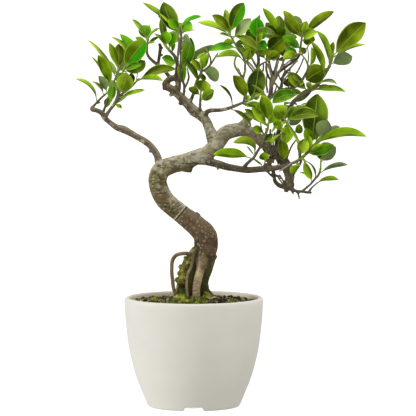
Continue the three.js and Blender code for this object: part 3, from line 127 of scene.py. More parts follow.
# Routes of the wood, each point as [across, height, depth, radius]
WOOD = {
    "trunk": [
        [14, 184, 0, 13], [14, 190, 0, 14.4], [15, 200, 0, 14.8], [13, 211, -1, 14.3],
        [2, 222.5, -3, 12.8], [-16.5, 237, -5, 11.6], [-35.5, 254, -6, 11.6], [-44, 274, -5, 11.3],
        [-40, 289, -4, 11.4], [-26, 296, -3, 10.4], [-10, 300, -4, 10.4], [4, 306, -6, 9.4],
        [17, 311, -9, 9], [28, 321, -12, 9.2], [39.4, 335.2, -14, 9.2], [57.8, 339, -17, 8],
        [70.8, 334.5, -19, 7.2], [82.4, 325, -22, 6.6], [92, 316, -24, 6.3], [103, 307.5, -26, 6.3],
        [111.4, 298, -28, 6.6], [116, 287, -28, 6.5], [117, 279, -27, 5.8], [116, 270.5, -26, 5]],
    "front_root": [
        [12, 192, -4, 10], [10.5, 182, -8, 7.2], [8.6, 170, -10, 5.6], [6, 160, -11, 5.3],
        [4, 151, -11, 5], [3, 142, -11, 4.9], [3, 131, -12, 5.4], [3, 116, -13, 6]],
    "right_root": [
        [17, 190, 1, 10], [18, 179, 1, 8], [15.4, 166, 0, 6.9], [12.8, 156, 0, 6.2],
        [12.2, 149, 0, 6], [13.6, 141, 1, 6.3], [19, 133, 3, 7], [26, 124, 6, 6.4],
        [32, 117, 7, 5]],
    "thin_root": [
        [2, 192, -9, 2.4], [-1, 181, -13, 1.9], [-3.6, 170, -14, 1.7], [-7.4, 162, -14.5, 1.6],
        [-8.6, 150, -14.5, 1.6], [-8, 139, -14, 1.6], [-7, 126, -13, 1.9], [-7, 118, -12, 2]],
    "mossy_root": [
        [4, 193, 0, 5], [-3, 184, 0, 5.4], [-8.2, 175, 0, 5.9], [-12, 164, 0, 6.3],
        [-13.5, 154, 0, 6.4], [-14.5, 144, 0, 6.8], [-15, 134, 0, 7.8], [-16, 122, 0, 8],
        [-16, 115, 0, 7]],
    "back_root": [
        [10, 190, 6, 9], [8, 174, 12, 6.4], [6, 158, 15, 5.6], [4, 145, 17, 6], [1, 132, 21, 7],
        [-1, 117, 25, 6]],
    "loop_root": [
        [-2, 186, -3, 3], [-9, 187.6, -7, 2.5], [-16, 187.2, -9, 2.4], [-22, 185, -10, 2.5],
        [-26, 179, -10, 2.5], [-27, 168, -9, 2.4], [-26, 155, -9, 2.4], [-24.5, 144, -8, 2.4],
        [-21, 135, -8, 2.3], [-20, 124, -8, 2.4], [-20, 118, -8, 2.4]],
    "fork_knob": [[-8, 298, -6, 7], [-2, 291.5, -8, 3.2]],
    "left_limb": [
        [-38, 288, -3, 8], [-42, 298, 2, 5.4], [-44, 306, 4, 4.5], [-46.8, 311.5, 5, 4.4],
        [-52, 318.5, 7, 4.2], [-59, 324.5, 9, 4.1], [-71, 331.5, 12, 3.9], [-79, 336, 14, 4.2],
        [-86, 339.6, 16, 4.7], [-94, 342, 18, 3.8], [-101, 347, 19, 3.2], [-108.5, 353.5, 21, 3.3],
        [-110, 357.5, 22, 3.6]],
    "left_spur": [[-49, 315, 6, 2.6], [-54.5, 311.6, 5, 1.3]],
    "left_arm": [
        [-109, 356, 21, 3.4], [-114, 360.8, 22, 3.1], [-119, 362.8, 22, 2.9],
        [-123.6, 363.8, 22.5, 2.8], [-124, 366, 23, 2.2], [-121, 369, 24, 1.7]],
    "up_limb": [
        [27, 322, -11, 9], [22.6, 332, -6, 8], [19, 340, -1, 6.3], [15, 349.5, 5, 6],
        [8, 357, 10, 6.4], [-0.5, 363, 14, 6.6], [-8, 371, 16, 5.7], [-17, 380, 18, 5.2],
        [-25, 387.5, 18, 4.9], [-31.5, 391, 18, 4.6], [-34.5, 394.5, 18, 4.2],
        [-31, 399.5, 19, 3.9], [-25, 402, 19, 3.9], [-20, 400.5, 19, 3.7], [-18.8, 395, 19, 3.6],
        [-19.4, 388, 18, 3.8]],
    "limb_stub": [[2, 362, 12, 5], [-4.5, 358.8, 8, 3]],
    "spur_low": [[-13, 376, 17, 3.4], [-17.5, 369.5, 16, 2.2]],
    "spur_mid": [[-22, 385, 18, 3.2], [-29.5, 380.6, 17, 1.9]],
    "spur_side": [[-30, 390, 18, 3], [-38, 389, 18, 1.9]],
    "crown_stem_a": [
        [-28, 401, 19, 2.8], [-33, 408, 20, 2.3], [-38, 413, 21, 2.1], [-43, 417.5, 22, 2],
        [-42.3, 426, 22, 2], [-41, 435, 22, 2.1], [-40.6, 440, 22, 2.2], [-42, 444.5, 22, 1.7]],
    "crown_spur_a": [[-42, 429, 22, 1.4], [-37, 430.6, 21, 1.1]],
    "crown_spur_b": [[-41, 436, 22, 1.4], [-37.3, 439.6, 21, 1.1]],
    "crown_stem_b": [[-21, 401, 19, 2.8], [-20.5, 411, 17, 2.5], [-20, 421, 15, 2.2]],
    "side_stem": [
        [-6, 370, 15, 2.8], [-1, 381, 13, 2.1], [1.5, 390, 9, 1.9], [2.8, 396, 6, 1.8],
        [5.8, 402, 3, 1.8], [9, 408, 0, 1.8]],
    "low_stem": [[9, 357, 10, 3], [7.6, 366, 6, 1.9]],
    "across_stem": [
        [13, 356, 6, 4.4], [16, 360.5, 4, 3.2], [21, 362.6, 1, 2.7], [31.3, 363, -4, 2.4],
        [42, 365, -12, 2.2]],
    "grey_limb": [
        [54, 339, -16, 6.4], [61, 346.5, -6, 5.2], [68, 354, 4, 4.2], [77, 363, 14, 3.6],
        [86, 371.5, 21, 3.3], [92.6, 379.5, 25, 3], [94.3, 389, 28, 2.7], [94.3, 398, 30, 2.4],
        [96.5, 405, 31, 2.2]],
    "grey_fork": [
        [91, 376, 24, 2.6], [98, 382, 20, 2.1], [105, 388, 16, 2], [107.8, 398, 14, 1.8],
        [110.5, 408, 12, 1.6], [117, 413.5, 9, 1.3]],
    "fork_arm": [[103, 386, 17, 1.8], [112, 389.2, 10, 1.6]],
    "long_twig": [[96, 403, 31, 2], [106, 411, 28, 1.8], [114, 417, 25, 1.6]],
    "tall_twig": [[96, 402, 30, 2.1], [99, 412, 33, 2]],
    "inner_twig": [[85, 370, 20, 2.4], [84, 385, 19, 2.2], [81, 399, 16, 2.1]],
    "link_twig": [[95.5, 399, 30, 1.5], [100, 394.5, 25, 1.3], [104.5, 389, 17, 1.4]],
    "lower_limb": [
        [4, 303, -7, 7], [14, 301, -9, 5.4], [25, 298.3, -10, 4.8], [32, 296.4, -11, 4.8],
        [40, 293.8, -12, 4.5], [53.4, 291.4, -14, 4.1], [66.4, 289.8, -17, 3.9],
        [80, 290.8, -22, 3.8], [91, 291.6, -29, 3.7], [101, 292.4, -38, 3.3],
        [110, 294.4, -43, 2.5], [117, 297.4, -45, 2], [124, 299.6, -46, 1.9], [130, 303.4, -47, 2],
        [137, 309.4, -49, 2]],
    "lower_spur": [[30, 296, -11, 2.6], [29, 289.8, -12, 1]],
    "lower_bump": [[66.5, 291, -17, 3.4], [66, 286.6, -18, 1.8]],
    "lower_side": [[60, 291, -16, 3], [64.5, 297, -22, 2.2], [70, 302, -31, 1.9]],
    "bottom_loop": [
        [96.5, 292, -31, 2.6], [98, 283, -26, 2.2], [99.3, 276, -24, 2.5], [105, 270.8, -25, 2.9],
        [113, 269, -26, 3.2]],
    "bottom_stub": [[114, 271, -26, 3.4], [112.6, 262.6, -27, 2.6]],
    "knob_a": [[117, 281, -27, 4], [122, 282, -29, 2.8]],
    "knob_b": [[117, 272, -26, 4], [122.2, 271.2, -28, 3]],
    "bottom_twig": [
        [116, 270, -26, 3.2], [121, 266, -28, 2.3], [126, 263.8, -31, 1.9], [133, 263.4, -34, 1.8],
        [139, 262.3, -37, 1.7], [144, 262.3, -39, 1.5]],
    "twig_down_a": [[126, 264, -31, 1.5], [128, 259, -32, 1.2], [129, 254.2, -33, 1.1]],
    "twig_down_b": [[116, 269, -26, 2], [119.5, 264, -27, 1.2], [122, 259.8, -28, 1.1]],
    "thin_twig_a": [[113, 271, -26, 1.6], [108.5, 277.5, -27, 1.2], [104.5, 284.5, -28, 1]],
    "thin_twig_b": [
        [119, 282, -28, 2.4], [125, 290, -32, 1.8], [129.5, 297, -37, 1.6], [131.5, 302, -40, 1.4]],
    "thin_twig_c": [[88, 291, -27, 1.7], [92, 285.4, -29, 1.3], [98, 280, -30, 1.1]],
    "thin_twig_d": [[96, 311, -26, 2], [92, 305.5, -35, 1.3], [84, 316, -38, 1.1]],
    "thin_twig_e": [
        [111, 300, -30, 2.6], [116, 311, -37, 1.3], [120, 320, -40, 1.2], [126, 328, -42, 1]],
    "right_twig": [
        [103, 308, -25, 3.8], [101.5, 320, -21, 3.1], [102.5, 333, -17, 2.8], [107, 347, -14, 2.6],
        [113, 360, -12, 2.4], [119, 369.5, -10, 2.3]],
    "back_stem_left": [[-107, 356, 22, 2.6], [-101.5, 364.5, 34, 1.8], [-96.5, 371.5, 46, 1.6]],
    "back_stem_top": [[-23, 402, 20, 2.6], [-20.6, 411, 33, 1.9], [-20, 420, 46, 1.6]],
    "back_stem_right": [[93, 380, 26, 2.8], [95, 391, 42, 2.1], [97, 403, 56, 1.7]],
    "back_stem_low": [
        [102, 330, -17, 2.6], [104, 338, -2, 2], [108, 347, 14, 1.8], [113, 356, 28, 1.6]],
    "hollow_root": [
        [6, 192, 2, 9], [1, 180, 1, 7], [-1.5, 166, 0.5, 6.2], [-2.5, 150, 0.5, 6.4],
        [-3, 138, 2, 7.4], [-4, 120, 4, 8]],
    "web_root": [
        [15, 186, 9, 6], [13, 168, 10, 5.4], [12, 152, 10, 5.4], [13, 140, 10, 6.4],
        [13, 124, 10, 6.4]],
    "low_bump": [[3, 233, -3, 5], [6.4, 236.9, -3, 2.7]],
    "high_bump": [[-11, 241, -5, 5], [-9.2, 245.2, -5, 2.5]],
    "root_bump": [[23.4, 184, 1, 5.6], [27.6, 181.4, 1, 2.8]],
    "under_bump": [[-14, 293.4, -4, 5], [-8, 291.8, -4, 5.2], [-2, 290.4, -5, 3.8]],
    "pale_1": [
        [93, 381, 22, 1.8], [94.5, 392, 18, 1.6], [95, 402, 15, 1.4], [92.6, 412, 12, 1.2],
        [92, 421, 10, 1]],
    "pale_2": [
        [97, 403, 24, 1.5], [104, 411, 18, 1.3], [112, 419, 12, 1.2], [119, 425, 8, 1.1],
        [126, 433, 6, 1]],
    "dark_1": [
        [116, 394, 12, 1.4], [121, 402, 8, 1.2], [127, 411, 6, 1.2], [131, 419, 6, 1.1],
        [134, 427, 7, 1]],
    "pale_6": [[64, 424, 1, 1.3], [70, 418, 4, 1.3], [76, 410, 10, 1.4]],
    "pale_7": [[98, 398, 24, 1.6], [104, 409, 18, 1.5], [108, 419, 14, 1.4], [111, 428, 12, 1.3]],
    "pale_8": [[97, 394, 16, 1.5], [100, 409, 12, 1.4], [103, 424, 8, 1.3]],
    "knob_4": [[89, 294, -30, 3.4], [92.6, 298.6, -33, 3], [95, 303, -34, 2]],
    "pale_9": [[108, 402, 18, 1.5], [114, 410, 16, 1.4], [121, 418, 12, 1.3], [127, 424, 10, 1.2]],
    "dark_7": [[82, 404, 12, 1.3], [84.5, 412, 8, 1.2], [85, 420, 6, 1.1]],
    "pale_3": [
        [106, 390, 14, 1.3], [108.6, 397, 10, 1.2], [112.5, 403, 6, 1.1], [117.5, 408, 4, 1]],
    "dark_2": [[112.6, 396, 12, 1.2], [116.4, 406, 8, 1.1], [117.6, 414, 6, 1]],
    "dark_3": [[108, 391, 10, 1.2], [107, 398, 6, 1.1], [104.4, 403, 4, 1], [103, 411, 2, 1]],
    "dark_4": [[105, 399, 2, 1.1], [111, 411, 0, 1], [109.4, 417, -2, 1]],
    "pale_4": [[98, 383, 16, 1.4], [100.4, 390, 12, 1.1], [101, 395.5, 10, 1]],
    "dark_5": [[90, 384, 12, 1.4], [88.6, 396, 8, 1.2], [89.4, 408, 4, 1.1], [88, 419, 2, 1]],
    "pale_5": [[96, 405, 20, 1.3], [92, 413, 14, 1.1], [88.4, 421, 8, 1]],
    "dark_6": [[119, 421, 12, 1.5], [123, 427, 10, 1.4], [124, 436, 8, 1.1]],
    "low_1": [
        [93.6, 340, -20, 1.4], [93, 326, -26, 1.2], [95, 312, -30, 1.2], [96.4, 300, -32, 1.1]],
    "low_2": [[99, 336, -22, 1.3], [97, 324, -30, 1.1], [98.6, 310, -34, 1.1], [97.4, 298, -36, 1]],
    "low_3": [
        [103.4, 332, -24, 1.5], [104, 320, -32, 1.3], [101, 308, -36, 1.2], [103, 297, -38, 1.1]],
    "low_4": [
        [104, 288, -44, 1.1], [111, 292.4, -48, 1.1], [119.6, 298.4, -50, 1.2],
        [125, 301.6, -49, 1.2]],
    "low_5": [[101, 284, -27, 1.2], [106, 276.4, -31, 1], [111.4, 270.6, -31, 1]],
    "low_6": [[88, 341, -28, 1.2], [89.4, 330, -34, 1.1], [93.6, 318, -38, 1], [91, 309, -40, 1]],
    "low_7": [[108, 330, -22, 1.3], [106, 318, -34, 1.1], [109, 306, -38, 1.1]],
    "knob_1": [[115, 292, -30, 4.6], [119, 294.6, -34, 3]],
    "knob_2": [[106, 304, -28, 4.4], [103.6, 299.6, -33, 3.4]],
    "knob_3": [[99, 309, -27, 4], [95.6, 304.4, -30, 2.8]],
}
ROOTS = (
    "front_root", "right_root", "mossy_root", "back_root", "hollow_root", "web_root", "thin_root",
)

# Leafy stems: routes as above, then leaves as [place along the stem, tip across, tip height,
# depth to tip, width, roll, tone, bend, sweep, stem], where the last three are 0 if left out
LEAFY_STEMS = {
    "left_arm_leaves": [[
        [[-121, 369, 24, 1.5], [-117, 373.5, 25, 1.4], [-111, 379.5, 26, 1.3],
        [-105.5, 384, 27, 1.1]]], [
        [0.28, -144, 401.2, -8, 9, 62, 2, 8], [0.75, -124.5, 397.5, 10, 7.5, 60, 2, 4],
        [1, -116, 405, -14, 9.5, 20, 6, 0, 1.5], [0.1, -113.8, 373, 8, 4, 40, 1]]],
    "left_mid_leaves": [[
        [[-111, 358.5, 25, 1.7], [-108, 367, 25.5, 1.5], [-104.5, 376, 22, 1.5],
        [-102.5, 384, 17, 1.4], [-99, 393, 12, 1.3], [-95, 403, 9, 1.2], [-92, 412, 7, 1]]], [
        [0.64, -116.5, 430, -12, 13.5, 18, 1, 0, 1.2], [0.84, -128.4, 448, 10, 9.5, 60, 2, 3],
        [0.6, -124.8, 428.5, 16, 6.5, 56, 1, 3], [1, -103, 445, -8, 9.5, 20, 1, 0, 0.8],
        [0.95, -91, 444, 16, 13, 10, 13], [0.75, -100.5, 374.5, -14, 10, 0, 14, 0, 1],
        [0.12, -100.5, 377, -4, 6, 20, 2], [0.14, -105.5, 378, 2, 5, 20, 2],
        [0.1, -98, 382, 4, 6, 20, 1]]],
    "left_inner_leaves": [[
        [[-107, 355.5, 17.5, 2], [-101, 364.6, 12, 1.8], [-96, 371, 11, 1.8], [-92, 377, 10, 1.7],
        [-87, 383, 8, 1.6], [-80, 388, 5, 1.5], [-75.5, 392, 3, 1.4], [-70, 398, 0, 1.1]],
        [[-91.5, 378, 10, 1.5], [-91, 391, 6, 1.4], [-88.5, 402, 4, 1.3], [-86, 411, 2, 1.1]]], [
        [1, -58.6, 448, 12, 22, 10, 10, 0, -1.5, 1], [0.93, -59.5, 423.5, 8, 16, 20, 7, 0, 3, 1],
        [0.97, -63.5, 417.8, -8, 11, 48, 14, 2, 0, 1],
        [0.12, -82.5, 409.5, -15, 19.5, 0, 2, 0, 2.5, 1], [1, -89.8, 455.5, 22, 13.5, 10, 8, 0, 9],
        [0.99, -100.7, 452.3, 19, 5.5, 10, 2, 0, 13, 1],
        [0.45, -59.4, 387.4, -20, 9.5, 58, 2, 2, 1.5], [1, -22, 413, -14, 17.5, 54, 0, 4, -1],
        [0.97, -37.4, 398.5, -29, 11.5, 64, 1, 5], [0.3, -88, 364.8, -10, 5.5, 30, 2],
        [0.28, -99.4, 367.6, -16, 4, 20, 2], [0.9, -76.5, 408.5, 8, 7, 20, 7],
        [0.24, -79.5, 383.5, 6, 5, 20, 6]]],
    "left_top_leaves": [[
        [[-43, 418, 22, 2.21], [-50, 423, 24, 1.95], [-56, 430, 26, 1.69], [-57, 438, 27, 1.56],
        [-56, 447.5, 28, 1.43]]], [
        [1, -61.5, 466.6, 12, 15, 5, 14], [0.97, -74.6, 473.6, 24, 8, 40, 1, 3],
        [1, -54, 467.5, 20, 5, 30, 2], [0.98, -41.5, 462.5, -6, 5, 53, 2, 1, -3.5],
        [0.9, -47, 446, -12, 3, 40, 1], [0.9, -71, 452, 6, 6.5, 30, 1],
        [0.85, -42, 452, 0, 5, 40, 7, 0, -1.5]]],
    "crown_left_leaves": [[
        [[-20, 421, 15, 2.75], [-23.6, 429.3, 13, 2.17], [-29.1, 435.2, 12, 1.89],
        [-33.2, 440, 11, 1.59]]], [
        [0.97, -48, 456.6, 7, 8.5, 60, 1, 3, -3], [1, -34.2, 459.4, 4, 14, -8, 12],
        [0.75, -22.5, 457.5, 5, 10, 18, 8], [0.05, -39, 427, -16, 14, 35, 12, 0, -2],
        [0.5, -23.5, 446, 3, 5, 20, 1], [1, -40, 475, 22, 8.5, 10, 7]]],
    "crown_mid_leaves": [[
        [[-11, 373, 16, 2.4], [-12.5, 379, 16, 1.7], [-11.5, 388, 15, 1.5], [-12, 395, 14, 1.5],
        [-15, 400, 12, 1.5], [-16, 406, 10, 1.4], [-15.5, 425, 7, 1.4], [-16.4, 443, 3, 1.4],
        [-15, 450, 1, 1.4], [-16, 457, 0, 1.4], [-17, 464, -1, 1]],
        [[-11.5, 389, 15, 1.3], [-7.5, 397, 10, 1.2], [-6, 403.5, 8, 1.2], [-7, 410, 7, 0.9]]], [
        [0.9, -62.8, 494.6, 4, 10.5, 56, 1, 1, 1.2], [0.86, -36.6, 494.6, 4, 19.5, 12, 7, 0, -3.2],
        [0.95, -31, 474, -16, 11, 0, 12], [0.92, -2, 468, 14, 14, 0, 12, 0, -1],
        [1, 9.1, 477, -4, 10.5, 60, 9, 3], [0.9, 2.5, 460.5, 22, 5, 62, 4, 1],
        [0.8, -3, 446, -26, 15, 140, 11], [0.52, -3.5, 451.5, -18, 15, 0, 14, 0, 2.2],
        [0.62, 5, 399, -18, 9.5, 44, 7, 3], [0.565, 26, 442, -12, 11, 150, 4, 1],
        [0.9, -43, 482, -22, 4, 50, 2], [0.3, -10.5, 419, -3, 5, 20, 1],
        [0.24, -18.5, 419, -4, 7.5, 10, 2], [0.3, -14.5, 429, -7, 8, 10, 12]]],
    "crown_side_leaves": [[
        [[9, 408, 0, 1.7], [9.8, 412, -2, 1.6], [9.6, 417, -4, 1.4]],
        [[9.3, 410, -1, 1.4], [14, 412.6, -4, 1.4], [20, 418, -7, 1.3], [26.6, 428, -10, 1.1]],
        [[20.5, 418.6, -7, 1.1], [20.5, 426, -7, 1], [17, 434, -8, 0.9]]], [
        [0.2, 18.5, 431, -14, 12, 30, 1, 0, -2], [1, 3, 424, -14, 4, 40, 2, 2, 0, 2],
        [0.3, 29, 398.5, -16, 18, 150, 7, 1, 3.5], [0.05, -2, 424.5, 4, 10, 20, 2],
        [0.2, 12, 398, -12, 8, 30, 7]]],
    "crown_low_leaves": [[
        [[7.6, 365, 6.5, 1.7], [8, 375, 2, 1.5], [8.5, 383.5, 0, 1.1]]], [
        [1, 13.4, 399.6, 3, 19, 8, 2], [0.8, -6, 390.5, 5, 10.5, 38, 0],
        [0.45, 25, 387.5, -10, 14, 24, 1]]],
    "middle_leaves": [[
        [[62.1, 408.5, -20, 1.3], [62.4, 415, -21, 1.3], [62.4, 422, -22, 1.3],
        [59.3, 430, -23, 1.4], [54, 438, -24, 1.4], [49, 446, -25, 1.4], [44.5, 454.5, -26, 1.2]],
        [[61.2, 374.5, -24.2, 1.5], [62.2, 382, -22, 1.4], [62.6, 392, -20, 1.4],
        [59.8, 402, -18, 1.4], [55, 408.5, -17, 1.3], [50.8, 415.5, -15, 1.3],
        [49.6, 420.5, -14, 1.2], [50.8, 426, -13, 1.1]],
        [[59.8, 401, -18, 1.4], [62.1, 409, -20, 1.3]],
        [[57.8, 404, -17.5, 1.4], [55.8, 409.4, -19, 1.2]]], [
        [1, 61, 493.8, 10, 17, -6, 10, 0, -2.5], [0.97, 38.5, 486, 16, 10, 24, 2],
        [0.95, 22, 478.5, -12, 12.5, 30, 0, 1, 3], [0.98, 4, 470, 6, 12, 56, 2, 4],
        [0.93, 31, 456, -9, 6, 58, 2, 1], [0.9, 70, 474.5, -20, 14, 20, 6],
        [0.95, 78, 436, -18, 12.5, 50, 0, 8, 2], [0.66, 18.5, 435, -22, 12, 44, 8, 6],
        [0.3, 28, 427, -14, 13, 60, 2, 9], [0.36, 66.8, 436, -12, 9, 16, 2],
        [0.87, 63, 430, 6, 9, 20, 2], [0.8, 36.5, 446.5, 4, 9, 30, 2],
        [0.8, 61, 446, 4, 6.5, 30, 7]]],
    "middle_back_leaves": [[
        [[81, 399, 16, 1.9], [79, 410, 13, 1.9], [78.6, 418, 11, 1.9], [79, 425, 10, 2],
        [78, 432, 9, 1.8], [77, 440, 8, 1.6], [77, 448, 8, 1.2]],
        [[79, 411, 13, 1.4], [75.5, 417.5, 8, 1.4], [72, 424, 5, 1.3]],
        [[78.8, 416, 11, 1.2], [84, 420, 10, 1], [89, 422.5, 10, 0.8]],
        [[80.5, 401, 15.6, 1.3], [74, 408.5, 10, 1.2], [68, 416, 4, 1.1], [64.5, 421, 1, 1]]], [
        [1, 80.5, 479, 14, 9, 40, 0, 3], [0.97, 77, 476, 2, 18, -10, 9],
        [0.98, 89, 462, -8, 12, 20, 8], [0.88, 84, 458, -12, 8, 40, 2],
        [0.7, 58, 444, -4, 12, 46, 0, 3], [0.92, 62, 455, 16, 8, 59, 0, 1],
        [0.42, 71, 377, -18, 22, 0, 5, 0, -2], [1, 60.5, 441.5, -17, 9, 58, 1, 1, 0, 1],
        [0.9, 70, 443, 12, 13, 6, 0, 0, 0, 3], [0.9, 104, 434, 4, 12, 30, 0, 1, 0, 2],
        [0.8, 66, 462, 6, 14, 10, 7], [0.62, 90, 438, 12, 12, 10, 0], [0.9, 90, 441, -8, 12, 10, 9],
        [0.75, 68, 446, 4, 10, 20, 7]]],
    "upper_right_leaves": [[
        [[99, 411, 33, 1.9], [102, 422, 35, 1.9], [103, 432, 37, 1.9], [103.4, 441, 38, 1.7],
        [104.5, 451, 39, 1.3]]], [
        [1, 83.8, 487.5, 10, 9, 14, 1, 0, 2.5], [0.97, 85.5, 464, -10, 14, 40, 0, 2],
        [0.92, 77, 461, -50, 10, 60, 7, 5], [0.95, 87, 452, 14, 11, 130, 7],
        [1, 104, 478, 25, 14, 24, 0], [0.8, 120.5, 441, -12, 12, 44, 0, 2],
        [0.92, 108, 466, -6, 14, 20, 1], [0.85, 88, 470, 8, 12, 10, 7],
        [0.5, 92, 428, -4, 9, 20, 1], [0.6, 112, 432, 4, 10, 20, 7],
        [0.28, 112, 426, 6, 6, 20, 1]]],
    "upper_inner_leaves": [[
        [[96.5, 405.5, 31, 1.5], [93.5, 414, 28, 1.5], [92, 421, 26, 1.4], [89.5, 430, 24, 1.3],
        [88, 436, 22, 1]]], [
        [0.88, 109, 451.5, -10, 22, -14, 0], [0.75, 98.5, 433, -9, 9, 2, 2]]],
    "upper_side_leaves": [[
        [[94.3, 399, 31, 1.5], [91, 404, 34, 1.4], [88.5, 412, 35, 1.3], [88.5, 421, 35, 1.2],
        [89, 431, 36, 1]]], [
        [1, 81.5, 433, 10, 6, 20, 1], [0.8, 72, 446, 33, 14, 10, 0, 1]]],
    "right_top_leaves": [[
        [[114, 417, 25, 1.5], [121, 422, 22, 1.5], [126.8, 427, 19, 1.5], [129.5, 433, 17, 1.5],
        [130, 440, 16, 1.5], [131, 447, 15, 1.4], [132, 453.5, 14, 1.2]]], [
        [1, 109.2, 484.5, 14, 11, 26, 0], [0.94, 110.5, 476, -8, 14.5, 10, 0],
        [0.97, 120.5, 478, 24, 15, 150, 7], [1, 137.5, 471.5, 4, 9, 14, 2],
        [0.98, 137, 470, -10, 8, 53, 2], [0.99, 170.5, 483, -6, 15, 44, 0, 0, -2.6],
        [0.95, 150.5, 458.5, -26, 12, 20, 2, 3], [0.85, 148, 449, -10, 14, 20, 0, 1],
        [0.6, 107, 452.5, -18, 11.5, 24, 8, 4], [0.48, 109, 425, -20, 13, 40, 2, 2],
        [0.42, 112, 439, -3, 9, 42, 3], [0.9, 122, 470, 12, 15, 10, 0],
        [0.35, 114, 436, 6, 12, 30, 1], [0.69, 135.5, 431.5, -4, 8, 20, 7]]],
    "right_fork_leaves": [[
        [[112, 389.2, 10, 1.6], [120, 389.8, 4, 1.6], [128, 394, -2, 1.6], [132.3, 400, -6, 1.6],
        [135.6, 406, -9, 1.5], [138.6, 412, -12, 1.4], [139, 418, -13, 1.3], [136, 425, -12, 1.1],
        [131.5, 430.5, -10, 1]],
        [[131, 430, -10, 1], [135, 434.5, -12, 0.9], [138.6, 440, -14, 0.8]]], [
        [0.3, 122, 407, 8, 7, 20, 7], [0.26, 134.5, 397, -16, 6, 40, 2],
        [0.08, 112, 401, 10, 10, 10, 0], [0.7, 143, 440, -8, 6.5, 10, 2, 2, 5],
        [0.68, 138, 442, 12, 3, 60, 4, 1], [0.1, 122, 397, 8, 12, 20, 7]]],
    "right_tip_leaves": [[
        [[119, 369.5, -10, 2.68], [125, 376.5, -9, 2.56], [134, 382.2, -7, 2.56],
        [142, 387, -6, 2.44], [148, 391, -5, 2.44], [153, 397, -4, 2.32], [157, 403, -3, 2.07],
        [161, 409, -2, 1.95], [164.5, 415, -2, 1.83], [167, 421, -1, 1.71], [169, 428, 0, 1.46]]], [
        [0.62, 143, 447, -14, 9, -20, 2, 0, 5.5], [0.82, 150.2, 459.5, -13, 15, 58, 1, 6, -2.2],
        [0.88, 161.5, 447, 12, 8, 50, 0, 1], [1, 209.6, 469.3, 6, 25.5, 28, 0, 0, -1.2],
        [0.97, 208.5, 443, 21, 9, 56, 2, 4], [0.87, 193, 429, -14, 17, 166, 4],
        [0.8, 137, 399.5, -6, 23.5, -4, 13, 0, 1.5], [0.17, 96, 371.5, -22, 15, 20, 14, 1, 5.5],
        [0.28, 185.5, 385.3, -12, 11.5, 56, 1, 4], [0.48, 175.5, 394, 14, 9, 60, 6, 4],
        [0.22, 148, 394.5, 14, 7, 50, 2], [0.42, 124, 373, 8, 10, 30, 0],
        [0.27, 114.5, 409, 14, 13, 0, 0], [0.34, 137, 396.5, -6, 7.5, 20, 2],
        [0.97, 170.2, 446.5, 10, 6.5, 10, 0, 0, -1], [0.4, 167, 391.6, 4, 5, 40, 5, 0, -1],
        [0.2, 119.5, 388, 4, 6, 20, 7], [0.42, 130, 376.5, 9, 7, 30, 1]]],
    "front_fan_leaves": [[
        [[69, 301.2, -30, 1.8], [73.6, 305.5, -37, 1.7], [78, 313, -43, 1.6], [82.4, 320, -48, 1.6],
        [86, 330, -53, 1.6], [90, 340, -57, 1.5], [91, 346, -59, 1.2]],
        [[86.3, 331, -53.5, 1.2], [83, 338.5, -57, 1], [81.5, 347, -60, 0.8]]], [
        [1, 83, 381.5, -8, 15.5, -8, 1, 0, 2.5], [0.97, 70.8, 394, 12, 8, 56, 0, 9, 2.5],
        [0.93, 70.3, 366, -21, 11.5, 28, 2], [0.9, 60.5, 360, 8, 7, 140, 4, 1],
        [0.3, 72, 341.8, -8, 10, 30, 1, 0, 0, 1], [1, 80, 372, 7, 11, 8, 0, 0, 0, 1],
        [0.93, 101, 362, 6, 13, 10, 1], [0.2, 64.3, 319, -6, 4, 60, 2],
        [0.18, 48, 323.6, -12, 14, 56, 0, 14], [0.11, 24, 308.6, 12, 17, 50, 1, 4],
        [0.93, 62, 364.5, 6, 9, 20, 0], [0.55, 97, 334, -8, 8, 20, 13]]],
    "front_whorl_leaves": [[
        [[129.5, 304.5, -47, 1.7], [129, 313, -51, 1.8], [128, 323, -54, 1.8], [122, 335, -57, 1.9],
        [115.5, 344.5, -60, 1.6], [112, 350, -61, 1.2]]], [
        [1, 99, 368.5, -10, 19, 14, 2], [0.95, 128, 366, 12, 16, 0, 7],
        [0.9, 152.5, 356, -16, 17, 48, 13, 8], [0.96, 144, 364.5, 5, 12, 42, 1, 4],
        [0.8, 112.8, 321.8, -14, 13.5, 10, 1], [0.06, 136.5, 329, -14, 14, 0, 2],
        [0.98, 95, 334.5, -2, 6, 60, 1, 3], [1, 107.5, 345, -12, 4, 30, 2],
        [0.88, 131.5, 350.5, 14, 13, 150, 0], [0.6, 132, 343.5, 10, 11, -20, 1],
        [0.97, 128.5, 323, -16, 5, 36, 2], [0.7, 106, 336, -10, 8, 20, 1]]],
    "front_right_leaves": [[
        [[137, 310, -49, 2.21], [142, 315, -51, 2.34], [147, 320, -52, 2.08],
        [152.5, 327, -53, 1.56]]], [
        [0.4, 151, 383, 16, 30, 0, 7], [0.45, 210.5, 331, -14, 16.5, 55, 1, 8, -5.5],
        [1, 163.5, 350.5, 1, 19, 168, 11], [0.95, 178, 343, 18, 12, 140, 6],
        [0, 171.5, 320, -14, 17, 42, 14, 0, 2], [0.3, 140.5, 332, -14, 8, 0, 2],
        [0.5, 136, 341.5, -5, 11, 12, 1], [0.4, 141, 353, 12, 12, 10, 0],
        [0.8, 148, 346, 14, 10, 10, 7], [0, 158, 321.5, -17, 6, 40, 2, 0, -1]]],
    "front_low_leaves": [[
        [[131, 305.6, -47, 1.5], [134, 302.6, -51, 1.4]]], [
        [0.9, 144, 278, -10, 9.5, -14, 1, 2], [1, 148, 279, 1, 4.5, 56, 0, 6]]],
    "front_under_leaves": [[
        [[124, 300.3, -46, 1.6], [126.5, 297.6, -50, 1.4]]], [
        [1, 118.8, 285.5, -8, 9, 16, 1]]],
    "low_right_leaves": [[
